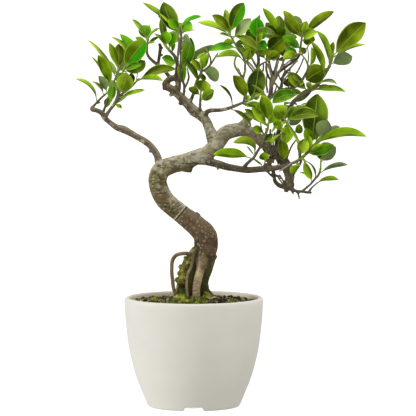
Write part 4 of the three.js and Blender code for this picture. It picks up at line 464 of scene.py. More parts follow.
        [[132.5, 263.8, -34, 1.6], [138, 268.5, -38, 1.4], [143, 273, -42, 1.4],
        [148, 279, -46, 1.4], [152, 283.5, -49, 1.5], [154.5, 290, -52, 1.2],
        [155, 299, -54, 1]]], [
        [1, 157, 320, 8, 15.5, 0, 0], [1, 173, 318.6, 5, 16, 165, 4],
        [0.72, 188.5, 296, 8, 8.5, 50, 4, 5], [0.36, 129, 287, -14, 4, 59, 1, 5]]],
    "low_tip_leaves": [[
        [[140, 262.6, -37, 1.5], [144.5, 268.5, -34, 1.1], [149, 272.5, -31, 0.9]]], [
        [1, 177.5, 277.5, -6, 8.5, 54, 1, 5]]],
    "across_leaves": [[
        [[42, 365, -12, 2.1], [53.4, 369.4, -20, 1.8], [60.7, 372.5, -25, 1.6],
        [66, 374.4, -28, 1.4], [72, 377, -32, 1.2], [78, 380, -36, 0.9]]], [
        [0.55, 48, 405.4, -10, 14, 10, 0, 0, 2.5], [0.5, 68, 381, -14, 7, 20, 2],
        [0.42, 86, 367.5, -16, 9.5, 40, 1, 1, 2], [0.03, 70, 343, -12, 9, 56, 0, 4],
        [0.1, 31, 394, -8, 6, 60, 7, 5], [0.62, 83.5, 383, 12, 8, 56, 2, 2],
        [0.3, 73, 366.5, -4, 6, 50, 2], [0.8, 81, 379, -6, 6.5, 30, 2]]],
    "inner_low_leaves": [[
        [[85, 291.5, -26, 1.8], [86.3, 296.5, -31, 1.2], [87, 300, -34, 0.9]]], [
        [1, 85, 311.6, -6, 12, 0, 1], [0.25, 71.5, 304, 10, 5, 60, 1],
        [0.9, 93.5, 303, 2, 5, 20, 0]]],
    "limb_leaves": [[
        [[102, 324, -19, 1.9], [105, 330, -27, 1.2], [108, 336, -33, 1]]], [
        [0.7, 110.5, 303, -13, 13, 16, 0], [1, 99, 352, 6, 11, 10, 1], [1, 120, 341, 8, 13, 20, 0],
        [0.9, 92.5, 319, -4, 6, 50, 2, 2]]],
    "back_left_leaves": [[
        [[-96.5, 371.5, 46, 1.5], [-93, 381, 56, 1.4], [-92, 395, 64, 1.3], [-92, 410, 70, 1]]], [
        [1, -94, 441, 14, 10, 170, 1], [0.96, -76, 430, 22, 15, 150, 0, 1],
        [0.85, -108, 424, 18, 9, 160, 2, 1], [0.6, -84, 408, 26, 15, 150, 1, 2],
        [0.45, -106, 398, 24, 12, 160, 0, 2], [0.98, -84, 444, -12, 12, 160, 1]]],
    "back_top_leaves": [[
        [[-20, 420, 46, 1.5], [-19, 432, 56, 1.4], [-18, 446, 63, 1.3], [-19, 457, 67, 1]]], [
        [1, -33, 489, 14, 15, 170, 1], [0.97, -12, 469, 24, 14, 160, 2, 1],
        [0.95, -44, 478, -2, 10, 134, 1, 2], [0.8, -9, 455, 31, 13, 142, 0, 2],
        [0.66, -31, 457, 26, 13, 160, 1, 1], [0.5, -8, 444, 22, 11, 160, 0]]],
    "back_right_leaves": [[
        [[97, 403, 56, 1.6], [100, 416, 66, 1.5], [104, 430, 73, 1.4], [108, 444, 77, 1.1]]], [
        [1, 118, 473, 14, 15, 160, 1], [0.97, 96, 468, 20, 15, 160, 0, 1],
        [0.96, 126, 452, 12, 13, 134, 1, 2], [0.8, 92, 446, 24, 14, 160, 1, 1],
        [0.66, 118, 434, 28, 12, 130, 2, 3], [0.5, 86, 434, 18, 12, 150, 0, 2]]],
    "back_low_leaves": [[
        [[113, 356, 28, 1.5], [118, 362, 42, 1.4], [124, 366, 54, 1.3], [128, 368, 64, 1]]], [
        [1, 150, 368, 22, 10, 100, 1, 3], [0.97, 110, 369, 26, 10, 100, 0, 3],
        [0.9, 142, 356, 16, 14, 120, 1, 3], [0.7, 103, 362, 14, 14, 100, 2, 3],
        [0.95, 134, 352, 7, 13, 34, 1, 2], [0.4, 146, 364, 4, 13, 100, 0, 3]]],
}

# Where the stems turn from brown to green, from 0 at the foot to 1 at the end
GREEN_FROM = {
    "front_right_leaves": 0.1, "front_whorl_leaves": 0.1, "front_low_leaves": 0.1,
    "front_under_leaves": 0.1, "crown_mid_leaves": 0.95, "right_tip_leaves": 0.66,
}
USUAL_GREEN_FROM = 0.55

# Leaf colours: red, green, blue, and how much of the bright green side shows
# Tone 5, a near-black green, is painted shade for leaves that sit in the crown's shade
LEAF_TONES = [
    [98, 120, 0, 0], [116, 154, 0, 0], [152, 188, 34, 0], [100, 122, 0, 1], [116, 142, 100, 0],
    [34, 56, 20, 0], [146, 170, 112, 0], [66, 94, 14, 0], [88, 166, 4, 0.35], [44, 156, 0, 1],
    [78, 110, 0, 0.9], [98, 112, 76, 0], [126, 198, 10, 0.15], [84, 106, 0, 0], [78, 130, 6, 0.25],
]

# Moss cushions as [across, height, depth, radius]
MOSS = [
    [-26, 131, -8, 5.2], [-22, 130, -12, 4.4], [-30, 128, -10, 3.6], [-15.5, 137, -9, 4.2],
    [-12, 134, -12, 3.6], [-18, 133, -13, 4.6], [-16, 130, -16, 4.4], [-9, 129, -17, 4.4],
    [-2, 131, -18, 4], [4, 130, -20, 4.2], [10, 130, -18, 4.4], [14, 132, -12, 4.6],
    [19, 132, -8, 5], [24, 130, -6, 4.6], [30, 128, -4, 5], [33, 127.5, -10, 3.4], [22, 129, 8, 5],
    [10, 130, 18, 5.4], [-4, 129, 26, 5], [-14, 129, 14, 5.6], [-20, 129, 4, 5],
    [2, 128.5, -26, 3.4], [-9, 177, -2, 2.2], [-12, 166, -3, 2.4], [-17, 157.5, -2, 2.4],
    [-18.4, 153.6, -1, 2.4], [-15, 168, 3, 2.4], [-17, 148, 3, 3], [-10, 150, 5, 3],
    [-9.5, 182, -2, 3], [-14.5, 171, -2, 3.2], [-20, 155, -2, 3.6], [-17.5, 163, -3, 2.8],
    [-16, 140, -8, 4.4], [-11.5, 137, -9, 4], [-48, 130.5, -2, 3.8], [27, 130, -12, 3.8],
    [16, 137, -7, 4], [46, 128.5, 14, 4.2], [-46, 129.5, 18, 4.4], [12, 129, 46, 4.6],
    [-38, 128, -30, 3.6], [52, 128, -24, 3.4], [-27, 127, -44, 4], [-18, 127, -49, 3.4],
    [-7, 127, -46, 3.8], [4, 126.5, -51, 3.2], [13, 127, -45, 3.8], [25, 126.5, -47, 3.4],
    [-58, 127, -6, 3], [60, 127.5, 4, 3], [-10, 128, 56, 3.4], [34, 128.5, 34, 3.8],
]


# Colours, from the values that the eye reads, 0 to 255, to linear light
def colour(red, green, blue):
    values = [v / 255 for v in (red, green, blue)]
    linear = [v / 12.92 if v <= 0.04045 else ((v + 0.055) / 1.055) ** 2.4 for v in values]
    return (*linear, 1.0)


def blend(first, second, value, start, length, strength=1.0):
    """The first colour up to the start, then more of the second over the length"""
    t = min(max((value - start) / length, 0.0), 1.0) * strength
    return tuple(a + (b - a) * t for a, b in zip(first, second))


STEM_BROWN = colour(102, 92, 66)
STEM_GREEN = colour(140, 168, 52)
BUD = colour(160, 172, 60)
TWIG_BROWN = colour(92, 82, 62)
TWIG_PALE = colour(178, 170, 144)
TRUNK_STOCK = colour(116, 94, 70)
TRUNK_FOOT = colour(88, 78, 50)
TRUNK_SCION = colour(138, 124, 84)
TRUNK_PALE = colour(160, 152, 122)
TRUNK_TOP = colour(112, 102, 78)
UP_LIMB_BROWN = colour(104, 92, 70)
BUMP_BROWN = colour(104, 84, 62)
ROUTE_TINTS = {
    "front_root": colour(212, 192, 154), "right_root": colour(92, 86, 44),
    "thin_root": colour(160, 142, 106), "mossy_root": colour(100, 94, 44),
    # hollow_root and web_root, which fill gaps between roots, are dark olive: moss and painted
    # shade
    "hollow_root": colour(80, 76, 38), "web_root": colour(60, 58, 26),
    "back_root": colour(84, 74, 48), "loop_root": colour(144, 120, 94),
    "fork_knob": colour(100, 90, 58), "left_limb": colour(112, 98, 80),
    "left_arm": colour(120, 110, 92), "grey_limb": colour(134, 126, 106),
    "grey_fork": colour(134, 126, 106), "right_twig": colour(86, 76, 58),
    "low_bump": BUMP_BROWN, "high_bump": BUMP_BROWN, "root_bump": BUMP_BROWN,
}


# Node trees: a wire is a node's output, and arithmetic on it adds Math nodes
def operator(operation, turned=False):
    def method(self, *others):
        values = (*others, self) if turned else (self, *others)
        return self.net.add("ShaderNodeMath", dict(enumerate(values)), operation=operation)
    return method


class Wire:
    __add__ = __radd__ = operator("ADD")
    __sub__, __rsub__ = operator("SUBTRACT"), operator("SUBTRACT", turned=True)
    __mul__ = __rmul__ = operator("MULTIPLY")
    __truediv__ = operator("DIVIDE")
    __pow__ = operator("POWER")
    __gt__ = operator("GREATER_THAN")
    __lt__ = operator("LESS_THAN")
    __abs__ = operator("ABSOLUTE")
    at_most = operator("MINIMUM")
    at_least = operator("MAXIMUM")
    sine = operator("SINE")
    fraction = operator("FRACT")

    def __init__(self, net, socket):
        self.net = net
        self.socket = socket

    def other(self, name):
        """Another output of the same node"""
        return Wire(self.net, self.net.find(self.socket.node.outputs, name))

    def between(self, low, high):
        """0 at low and 1 at high, eased"""
        ends = {"Value": self, "From Min": low, "From Max": high}
        return self.net.add("ShaderNodeMapRange", ends, interpolation_type="SMOOTHSTEP")


class Net:
    def __init__(self, tree):
        self.tree = tree
        tree.nodes.clear()

    def find(self, sockets, name):
        if isinstance(name, int):
            return sockets[name]
        return next(socket for socket in sockets if socket.name == name and socket.enabled)

    def add(self, kind, inputs=None, output=None, **settings):
        """A wire from a new node, from the output that is named or else from the first"""
        node = self.tree.nodes.new(kind)
        for name, value in settings.items():
            if name == "stops":
                self.fill_ramp(node.color_ramp, value)
            elif name == "shape":
                self.fill_curve(node.mapping, value)
            else:
                setattr(node, name, value)
        for name, value in (inputs or {}).items():
            socket = self.find(node.inputs, name)
            for item in value if isinstance(value, list) else [value]:
                if isinstance(item, Wire):
                    self.tree.links.new(item.socket, socket)
                else:
                    socket.default_value = item
        if not node.outputs:
            return None
        if output is None:
            output = next(i for i, socket in enumerate(node.outputs) if socket.enabled)
        return Wire(self, self.find(node.outputs, output))

    def fill_ramp(self, ramp, stops):
        while len(ramp.elements) < len(stops):
            ramp.elements.new(0.5)
        for element, (place, *tint) in zip(ramp.elements, stops):
            element.position = place
            element.color = colour(*tint)

    def fill_curve(self, mapping, points):
        line = mapping.curves[0]
        while len(line.points) < len(points):
            line.points.new(0.5, 0.5)
        for point, place in zip(line.points, points):
            point.location = place
        mapping.update()

    def vector(self, operation, first, second):
        return self.add("ShaderNodeVectorMath", {0: first, 1: second}, operation=operation)

    def part(self, vector, axis):
        return self.add("ShaderNodeSeparateXYZ", {0: vector}, axis)


# Materials
class Paint(Net):
    """A material's tree, which reads Object coordinates in metres and the mesh's own attributes"""

    def __init__(self, name, base=None):
        self.material = bpy.data.materials.new(name)
        self.material.use_nodes = True
        super().__init__(self.material.node_tree)
        self.place = self.add("ShaderNodeTexCoord", output="Object")
        self.base = base

    def attribute(self, name, output="Fac"):
        return self.add("ShaderNodeAttribute", output=output, attribute_name=name)

    def noise(self, size, detail=3.0, roughness=0.55, stretch=(1, 1, 1)):
        """Noise from 0 to 1 whose lumps are about so many millimetres wide"""
        scaled = self.vector("MULTIPLY", self.place, stretch)
        inputs = {"Vector": scaled, "Scale": 1000 / size, "Detail": detail, "Roughness": roughness}
        return self.add("ShaderNodeTexNoise", inputs, "Fac")

    def cloud(self, size):
        """Noise on three axes at once"""
        inputs = {"Vector": self.place, "Scale": 1000 / size, "Detail": 2.0}
        return self.add("ShaderNodeTexNoise", inputs, "Color")

    def mix(self, factor, first, second, blend_type="MIX"):
        inputs = {"Factor": factor, "A": first, "B": second}
        return self.add("ShaderNodeMix", inputs, "Result", data_type="RGBA",
                        blend_type=blend_type, clamp_factor=True)

    def multiplied(self, first, second):
        return self.mix(1.0, first, second, "MULTIPLY")

    def lay(self, factor, red, green, blue):
        """A colour laid on the base"""
        self.base = self.mix(factor, self.base, colour(red, green, blue))

    def ramp(self, factor, *stops):
        """The base, from stops of place, red, green and blue"""
        self.base = self.add("ShaderNodeValToRGB", {0: factor}, "Color", stops=stops)

    def bump(self, height, depth, strength=1.0):
        inputs = {"Height": height, "Distance": depth * MM, "Strength": strength}
        return self.add("ShaderNodeBump", inputs)

    def finish(self, roughness, normal=None, **constants):
        inputs = {"Base Color": self.base, "Roughness": roughness}
        inputs.update((name.replace("_", " "), value) for name, value in constants.items())
        if normal:
            inputs["Normal"] = normal
        surface = self.add("ShaderNodeBsdfPrincipled", inputs)
        self.add("ShaderNodeOutputMaterial", {"Surface": surface})
        return self.material


def glazed_white():
    paint = Paint("glazed_white", colour(228, 226, 217))
    cloud = paint.noise(60, 2.0)
    grain = paint.noise(1.6, 4.0)
    paint.lay(cloud.between(0.3, 0.7), 233, 231, 223)
    paint.lay(grain.between(0.68, 0.8) * 0.25, 205, 202, 190)
    # Painted light: the inner wall, below the lip, is painted a warmer white for the warm light
    # that falls on it
    from_axis = paint.vector("SUBTRACT", paint.place, tuple(POT_AXIS))
    flat = paint.vector("MULTIPLY", from_axis, (1, 1, 0))
    reach = paint.add("ShaderNodeVectorMath", {0: flat}, "Value", operation="LENGTH") / MM
    height = paint.part(paint.place, "Z") / MM
    inside = reach.between(80.4, 78.6) * height.between(96, 100)
    paint.lay(inside, 232, 222, 198)
    normal = paint.bump(paint.noise(5) + grain * 0.3, 0.12, 0.5)
    return paint.finish(0.42 + 0.14 * cloud, normal, Coat_Weight=0.12, Coat_Roughness=0.35)


def leaf_skin():
    paint = Paint("leaf_skin")
    tint = paint.attribute("tint", "Color")
    along, across, upper, shade, fresh = map(
        paint.attribute, ("along", "across", "upper", "shade", "fresh"))
    out = abs(across)

    # Painted light and shade: one half of the blade painted lit, the other shaded, its tip lighter
    patch = paint.noise(17, 1.5)
    turn = (shade > 0.42) * 2 - 1
    light = 0.5 + across * turn * 0.42 + (along - 0.5) * 0.35 + (patch - 0.5) * 1.5
    painted_shade = paint.multiplied(tint, colour(142, 148, 90))
    paint.base = paint.mix(light.between(0.15, 0.6), painted_shade, tint)
    # A painted highlight where the blade is lightest
    painted_highlight = paint.multiplied(tint, (2.7, 2.5, 2.2, 1.0))
    painted_highlight = paint.mix(0.35, painted_highlight, colour(176, 208, 60))
    paint.base = paint.mix(light.between(0.56, 1.1) * 0.66, paint.base, painted_highlight)
    emerald = (across + (patch - 0.5) * 0.8).between(-0.05, 0.35) * fresh
    paint.lay(emerald * 0.88, 28, 164, 0)
    paint.lay(along.between(0.2, 0.0) * 0.5, 166, 200, 50)

    # Side veins, midrib and rim
    vein_place = along * 11 - out * 1.7 + (paint.noise(5, 1.0) - 0.5) * 0.25
    vein = abs(vein_place.fraction() - 0.5).between(0.42, 0.5) * out.between(1.0, 0.75)
    paint.lay(vein * 0.12, 160, 190, 50)
    rib = out.between(0.06, 0.02)
    paint.lay(rib * 0.45, 186, 210, 80)
    paint.lay(out.between(0.84, 0.97) * 0.62, 180, 210, 64)

    # The underside is dull
    under = upper.between(0.05, -0.05)
    dull = paint.mix(0.6, paint.base, colour(128, 146, 100))
    paint.base = paint.mix(under, paint.base, dull)
    normal = paint.bump(rib * -0.8 - vein * 0.4 + paint.noise(1.3, 2.0) * 0.2, 0.25, 0.6)
    roughness = 0.34 + under * 0.25 + paint.noise(9) * 0.1
    return paint.finish(roughness, normal, Specular_IOR_Level=0.4, Coat_Weight=0.03,
                        Coat_Roughness=0.25, Specular_Tint=colour(200, 230, 84))


def young_stem():
    paint = Paint("young_stem")
    paint.base = paint.attribute("tint", "Color")
    grain = paint.noise(1.4, 4.0, 0.65)
    paint.lay(grain.between(0.5, 0.75) * 0.5, 40, 32, 20)
    paint.lay(paint.noise(0.9, 1.0).between(0.7, 0.78) * 0.5, 170, 160, 120)
    return paint.finish(0.62, paint.bump(grain, 0.4, 0.7))


def bark():
    paint = Paint("bark")
    tint = paint.attribute("tint", "Color")
    girth, run, upward, moss = map(paint.attribute, ("girth", "run", "upward", "moss"))
    thick = girth.between(2.5 * MM, 7.0 * MM)
    place = paint.part(paint.place, "X")
    across = place / MM - POT_AXIS.x / MM
    height = place.other("Z") / MM

    # The graft: the scion is above it
    graft = across * GRAFT_ACROSS + height * GRAFT_HEIGHT - GRAFT_OFFSET
    near_graft = abs(across - GRAFT_X).between(14, 11) * abs(height - GRAFT_Z).between(14, 11)
    # Below the graft's lip the groove is sunk by the bump and painted dark as its shadow
    groove = graft.between(-3.4, -1.0) * graft.between(-0.4, -1.0) * near_graft
    lip = abs(graft - 0.2).between(1.1, 0.6) * near_graft
    scion = graft.between(-0.3, 0.3)

    coarse = paint.noise(15)
    fine = paint.noise(3.2, 5.0, 0.65)
    grit = paint.noise(0.9)
    ragged = (paint.noise(5) - 0.5) * 1.1

    def spot(x, z, wide, high):
        """1 inside a ragged oval of the front view and 0 outside"""
        from_x, from_z = (across - x) / wide, (height - z) / high
        reach = (from_x * from_x + from_z * from_z) ** 0.5
        return (reach + ragged).between(1.1, 0.7)

    # Flakes where the bark peels, rings round a root or bend, and creases
    rough = sum(spot(*oval) for oval in ROUGH_BARK).at_most(1.0)
    peeling = rough * 0.85 + 0.15
    flake = paint.noise(3.6, 3.0, 0.6, (0.6, 1, 1.5))
    flecks = flake.between(0.54, 0.61) * peeling * thick
    cracks = flake.between(0.46, 0.39) * peeling * thick
    ringed = sum(spot(*oval) for oval in RINGED_BARK)
    rings = (run * RING_PITCH + paint.noise(9) * 14).sine().between(0.3, 1.0)
    creased = 0.35 + spot(*CREASED_BARK) * 0.65
    crease = abs(paint.noise(7) - 0.5).between(0.028, 0.0) * creased
    wrinkle = (rings * ringed * 0.7 + crease).at_most(1.0) * thick

    # Pale dots, larger and more of them below the graft
    shift = paint.vector("MULTIPLY", paint.cloud(6), (0.003, 0.003, 0.003))
    grid = {"Vector": paint.vector("ADD", paint.place, shift), "Scale": 262.0}
    dots = paint.add("ShaderNodeTexVoronoi", grid, "Distance", feature="F1")
    chosen = paint.add("ShaderNodeSeparateColor", {0: dots.other("Color")}, "Red")
    stock = (1 - scion) * thick
    dot_size = chosen * 0.16 + 0.2 + stock * 0.06
    lenticel = (dot_size - dots).between(-0.08, 0.1) * (chosen > 0.86 - stock * 0.66) * thick
    lenticel = lenticel * height.between(180, 188) * paint.noise(12, 1.0).between(0.3, 0.46)

    worn = paint.multiplied(tint, colour(170, 156, 126))
    paint.base = paint.mix(fine.between(0.4, 0.72) * 0.6, tint, worn)
    stain = paint.mix(scion, colour(84, 64, 44), colour(88, 82, 42))
    stain = paint.mix(thick, colour(66, 54, 40), stain)
    paint.base = paint.mix(coarse.between(0.52, 0.64) * 0.5, paint.base, stain)
    paint.lay(paint.noise(8, 4.0).between(0.56, 0.64) * (0.15 + scion * 0.5), 196, 184, 148)
    # Painted light on bark that faces up, most on the scion, and painted shade where it faces down
    paint.lay(upward.between(0.0, 0.85) * (thick * scion * 0.75 + 0.2), 210, 204, 176)
    paint.lay(upward.between(-0.3, -0.9) * 0.4, 60, 50, 28)
    for *oval, red, green, blue, strength in BARK_STAINS:
        paint.lay(spot(*oval) * (thick * strength), red, green, blue)
    paint.lay(cracks * 0.6 * scion, 80, 70, 38)
    paint.lay(flecks * 0.65 * scion, 208, 202, 166)
    paint.lay(wrinkle * 0.6, 56, 46, 24)
    paint.lay(lenticel * 0.7, 182, 162, 128)
    paint.lay(grit.between(0.6, 0.74) * 0.35, 44, 36, 20)

    # Moss on its root, painted shade in the root's hollow, moss at the foot, then the graft
    crust = paint.noise(6.5, 4.0, 0.65)
    paint.lay(moss * crust.between(0.44, 0.38) * 0.7, 62, 60, 18)
    paint.lay(moss * crust.between(0.4, 0.48) * 0.85, 140, 134, 50)
    paint.lay(moss * crust.between(0.51, 0.58) * 0.85, 204, 198, 112)
    paint.lay(spot(*ROOT_HOLLOW) * 0.85, 26, 24, 8)
    paint.lay(height.between(146, 132) * (crust + 0.1).between(0.45, 0.6) * 0.85, 66, 66, 20)
    # Painted shadow in the graft's groove, then its pale lip
    paint.lay(groove * 0.85, 34, 24, 10)
    paint.lay(lip * 0.9, 228, 218, 180)
    relief = fine * 0.8 + coarse * 0.6 - wrinkle * 1.3 + flecks * 0.8 - cracks + lenticel * 0.7
    relief = relief + grit * 0.25 + lip * 1.4 - groove * 1.4
    return paint.finish(0.72 + 0.15 * fine, paint.bump(relief, 1.3, 0.9), Specular_IOR_Level=0.3)


def soil_mix():
    paint = Paint("soil_mix")
    grain = paint.noise(1.1, 4.0, 0.7)
    pick = paint.attribute("shade") * 0.85 + grain * 0.4 - 0.1
    paint.ramp(pick, (0.0, 14, 10, 2), (0.34, 38, 30, 12), (0.58, 76, 64, 36),
               (0.8, 132, 120, 84), (1.0, 214, 204, 172))
    paint.lay(paint.noise(24, 2.0).between(0.52, 0.62) * 0.5, 88, 92, 28)
    return paint.finish(0.9, paint.bump(grain, 0.6, 0.8), Specular_IOR_Level=0.25)


def moss_green():
    paint = Paint("moss_green")
    pick = paint.attribute("shade") * 0.4 + paint.noise(7) * 1.8 - 0.62
    paint.ramp(pick, (0.0, 20, 22, 2), (0.32, 70, 78, 8), (0.58, 150, 162, 24),
               (1.0, 222, 226, 112))
    return paint.finish(0.85, paint.bump(paint.noise(0.9), 0.4, 0.6))


# Geometry trees
class Growth(Net):
    """A geometry tree with named inputs"""

    def __init__(self, name, **inputs):
        super().__init__(bpy.data.node_groups.new(name, "GeometryNodeTree"))
        self.new_socket("Geometry", "Geometry")
        for key, value in inputs.items():
            kind = type(value).__name__.title()
            socket = self.new_socket(key.replace("_", " "), kind)
            if kind in ("Float", "Int"):
                socket.default_value = value
        self.new_socket("Geometry", "Geometry", "OUTPUT")
        self.values = inputs
        self.start = self.add("NodeGroupInput")

    def new_socket(self, name, kind, in_out="INPUT"):
        socket_type = "NodeSocket" + kind
        return self.tree.interface.new_socket(name, in_out=in_out, socket_type=socket_type)

    def given(self, name):
        return self.start.other(name)

    def named(self, name, kind="FLOAT"):
        node = "GeometryNodeInputNamedAttribute"
        return self.add(node, {"Name": name}, "Attribute", data_type=kind)

    def store(self, geometry, name, value, kind="FLOAT", domain="POINT"):
        inputs = {"Geometry": geometry, "Name": name, "Value": value}
        return self.add("GeometryNodeStoreNamedAttribute", inputs, data_type=kind, domain=domain)

    def eased(self, value, times, kind="FLOAT"):
        inputs = {"Value": value, "Iterations": times}
        return self.add("GeometryNodeBlurAttribute", inputs, "Value", data_type=kind)

    def separate(self, geometry, selection):
        inputs = {"Geometry": geometry, "Selection": selection}
        return self.add("GeometryNodeSeparateGeometry", inputs)

    def chains(self, geometry):
        return self.add("GeometryNodeMeshToCurve", {0: geometry})

    def circle(self, sides, radius=1.0):
        inputs = {"Resolution": sides, "Radius": radius}
        return self.add("GeometryNodeCurvePrimitiveCircle", inputs)

    def sweep(self, curve, profile, scale):
        inputs = {"Curve": curve, "Profile Curve": profile, "Scale": scale, "Fill Caps": True}
        return self.add("GeometryNodeCurveToMesh", inputs)

    def put(self, geometry, position):
        return self.add("GeometryNodeSetPosition", {"Geometry": geometry, "Position": position})

    def swell(self, geometry, amount, way=None):
        """The geometry moved by an amount along its normal, or another way"""
        way = {0: way or self.normal(), "Scale": amount}
        offset = self.add("ShaderNodeVectorMath", way, operation="SCALE")
        return self.add("GeometryNodeSetPosition", {"Geometry": geometry, "Offset": offset})

    def combine(self, x=0.0, y=0.0, z=0.0):
        return self.add("ShaderNodeCombineXYZ", {"X": x, "Y": y, "Z": z})

    def position(self):
        return self.add("GeometryNodeInputPosition")

    def normal(self):
        return self.add("GeometryNodeInputNormal")

    def mesh_of(self, name):
        return self.add("GeometryNodeObjectInfo", {"Object": self.given(name)}, "Geometry")

    def noise(self, size):
        inputs = {"Vector": self.position(), "Scale": 1000 / size, "Detail": 2.0}
        return self.add("ShaderNodeTexNoise", inputs, "Fac")

    def random(self, low, high, seed):
        kind = "FLOAT_VECTOR" if isinstance(low, tuple) else "FLOAT"
        inputs = {"Min": low, "Max": high, "Seed": seed}
        return self.add("FunctionNodeRandomValue", inputs, data_type=kind)

    def scattered(self, geometry, density):
        inputs = {"Mesh": geometry, "Density": self.given(density), "Seed": self.given("Seed")}
        return self.add("GeometryNodeDistributePointsOnFaces", inputs, "Points")

    def copies(self, lump, points, **inputs):
        inputs = {"Points": points, "Instance": lump, **inputs}
        return self.add("GeometryNodeInstanceOnPoints", inputs)

    def ball(self, radius, divisions):
        inputs = {"Radius": radius, "Subdivisions": divisions}
        return self.add("GeometryNodeMeshIcoSphere", inputs, "Mesh")

    def realized(self, geometry):
        return self.add("GeometryNodeRealizeInstances", {0: geometry})

    def joined(self, *parts):
        return self.add("GeometryNodeJoinGeometry", {0: list(parts)})

    def painted(self, geometry, material):
        inputs = {"Geometry": geometry, "Material": self.given(material)}
        return self.add("GeometryNodeSetMaterial", inputs)

    def finish(self, geometry):
        self.add("NodeGroupOutput", {0: self.realized(geometry)})

    def put_on(self, scaffold):
        modifier = scaffold.modifiers.new(self.tree.name, "NODES")
        modifier.node_group = self.tree
        for item in self.tree.interface.items_tree:
            if item.in_out == "INPUT" and item.socket_type != "NodeSocketGeometry":
                modifier[item.identifier] = self.values[item.name.replace(" ", "_")]


# Objects
def new_object(name, data):
    thing = bpy.data.objects.new(name, data)
    bpy.context.collection.objects.link(thing)
    return thing


def new_mesh(name, points, edges, faces):
    shape = bpy.data.meshes.new(name)
    shape.from_pydata(points, edges, faces)
    return new_object(name, shape)


def aimed(name, data, place, direction):
    thing = new_object(name, data)
    thing.location = place
    thing.rotation_mode = "QUATERNION"
    thing.rotation_quaternion = direction.to_track_quat("-Z", "Y")
    return thing


def baked(name, scaffold):
    """The scaffold's modifiers turned into a plain mesh, in an object at the origin"""
    bpy.context.view_layer.update()
    graph = bpy.context.evaluated_depsgraph_get()
    shape = bpy.data.meshes.new_from_object(scaffold.evaluated_get(graph))
    shape.name = name
    bpy.data.objects.remove(scaffold)
    return new_object(name, shape)


def smooth(piece, degrees):
    piece.data.shade_smooth()
    piece.data.set_sharp_from_angle(angle=math.radians(degrees))


class Skeleton:
    """Chains of points with the values that a geometry tree reads on them"""

    FIELDS = {"FLOAT": "value", "FLOAT_VECTOR": "vector", "FLOAT_COLOR": "color"}

    def __init__(self, **kinds):
        self.kinds = kinds
        self.points = []
        self.links = []
        self.values = {name: [] for name in kinds}

    def chain(self, points, **values):
        start = len(self.points)
        self.points += [point * MM for point in points]
        self.links += [(i, i + 1) for i in range(start, len(self.points) - 1)]
        for name, value in values.items():
            self.values[name] += value if isinstance(value, list) else [value] * len(points)

    def scaffold(self, name):
        thing = new_mesh(name, [p + POT_AXIS for p in self.points], self.links, [])
        for key, kind in self.kinds.items():
            values = self.values[key]
            if kind != "FLOAT":
                values = [v for value in values for v in value]
            layer = thing.data.attributes.new(key, kind, "POINT")
            layer.data.foreach_set(self.FIELDS[kind], values)
        return thing


# Places
pot_low, pot_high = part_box("pot")
POT_AXIS = Vector(((pot_low[0] + pot_high[0]) / 2, (pot_low[1] + pot_high[1]) / 2, 0.0))


def seen(x, z, depth):
    """A point read from the front view, set back to its own depth"""
    k = 1 - depth / EYE.y
    return Vector((EYE.x + (x - EYE.x) * k, depth, EYE.z + (z - EYE.z) * k))


def placed(route):
    return [Vector((*seen(x, z, depth), r)) for x, z, depth, r in route]


def curve(route, u):
    """A point and radius on the smooth curve through a placed route"""
    last = len(route) - 1
    place = min(max(u, 0), 1) * last
    i = min(int(place), last - 1)
    t = place - i
    p0, p1, p2, p3 = route[max(i - 1, 0)], route[i], route[i + 1], route[min(i + 2, last)]
    square, cube = 2 * p0 - 5 * p1 + 4 * p2 - p3, 3 * p1 - p0 - 3 * p2 + p3
    return 0.5 * (2 * p1 + (p2 - p0) * t + square * t * t + cube * t * t * t)


def divided(route, step):
    """Places from 0 to 1 along a route, about a step apart, and the curve's rows there"""
    length = sum((b.xyz - a.xyz).length for a, b in zip(route, route[1:]))
    steps = max(int(length / step), 4)
    places = [i / steps for i in range(steps + 1)]
    return places, [curve(route, u) for u in places]


def round_points(radius, sides, turn=0.0):
    angles = [turn + math.tau * i / sides for i in range(sides)]
    return [(radius * math.cos(angle), radius * math.sin(angle)) for angle in angles]


# Leaves
class Midrib:
    """A leaf's line from foot to tip. Roll turns the blade from facing the front view, bend
    lifts it and sweep curves it sideways."""

    def __init__(self, foot, tip, roll, bend, sweep):
        self.foot, self.tip = foot, tip
        along = (tip - foot).normalized()
        to_eye = Vector((0, -1, 0))
        face = to_eye - along * to_eye.dot(along)
        if face.length < 0.3:
            face = UP - along * along.z
        face.normalize()
        rise = along.cross(face)
        if rise.z < -0.05:
            rise.negate()
        turn = math.radians(roll)
        self.normal = (face * math.cos(turn) + rise * math.sin(turn)).normalized()
        self.lift = self.normal * bend + along.cross(self.normal) * sweep

    def at(self, t):
        return self.foot.lerp(self.tip, t) + self.lift * (4 * t * (1 - t))

    def upright(self, t):
        along = (self.at(min(t + 0.02, 1)) - self.at(max(t - 0.02, 0))).normalized()
        return (self.normal - along * self.normal.dot(along)).normalized()


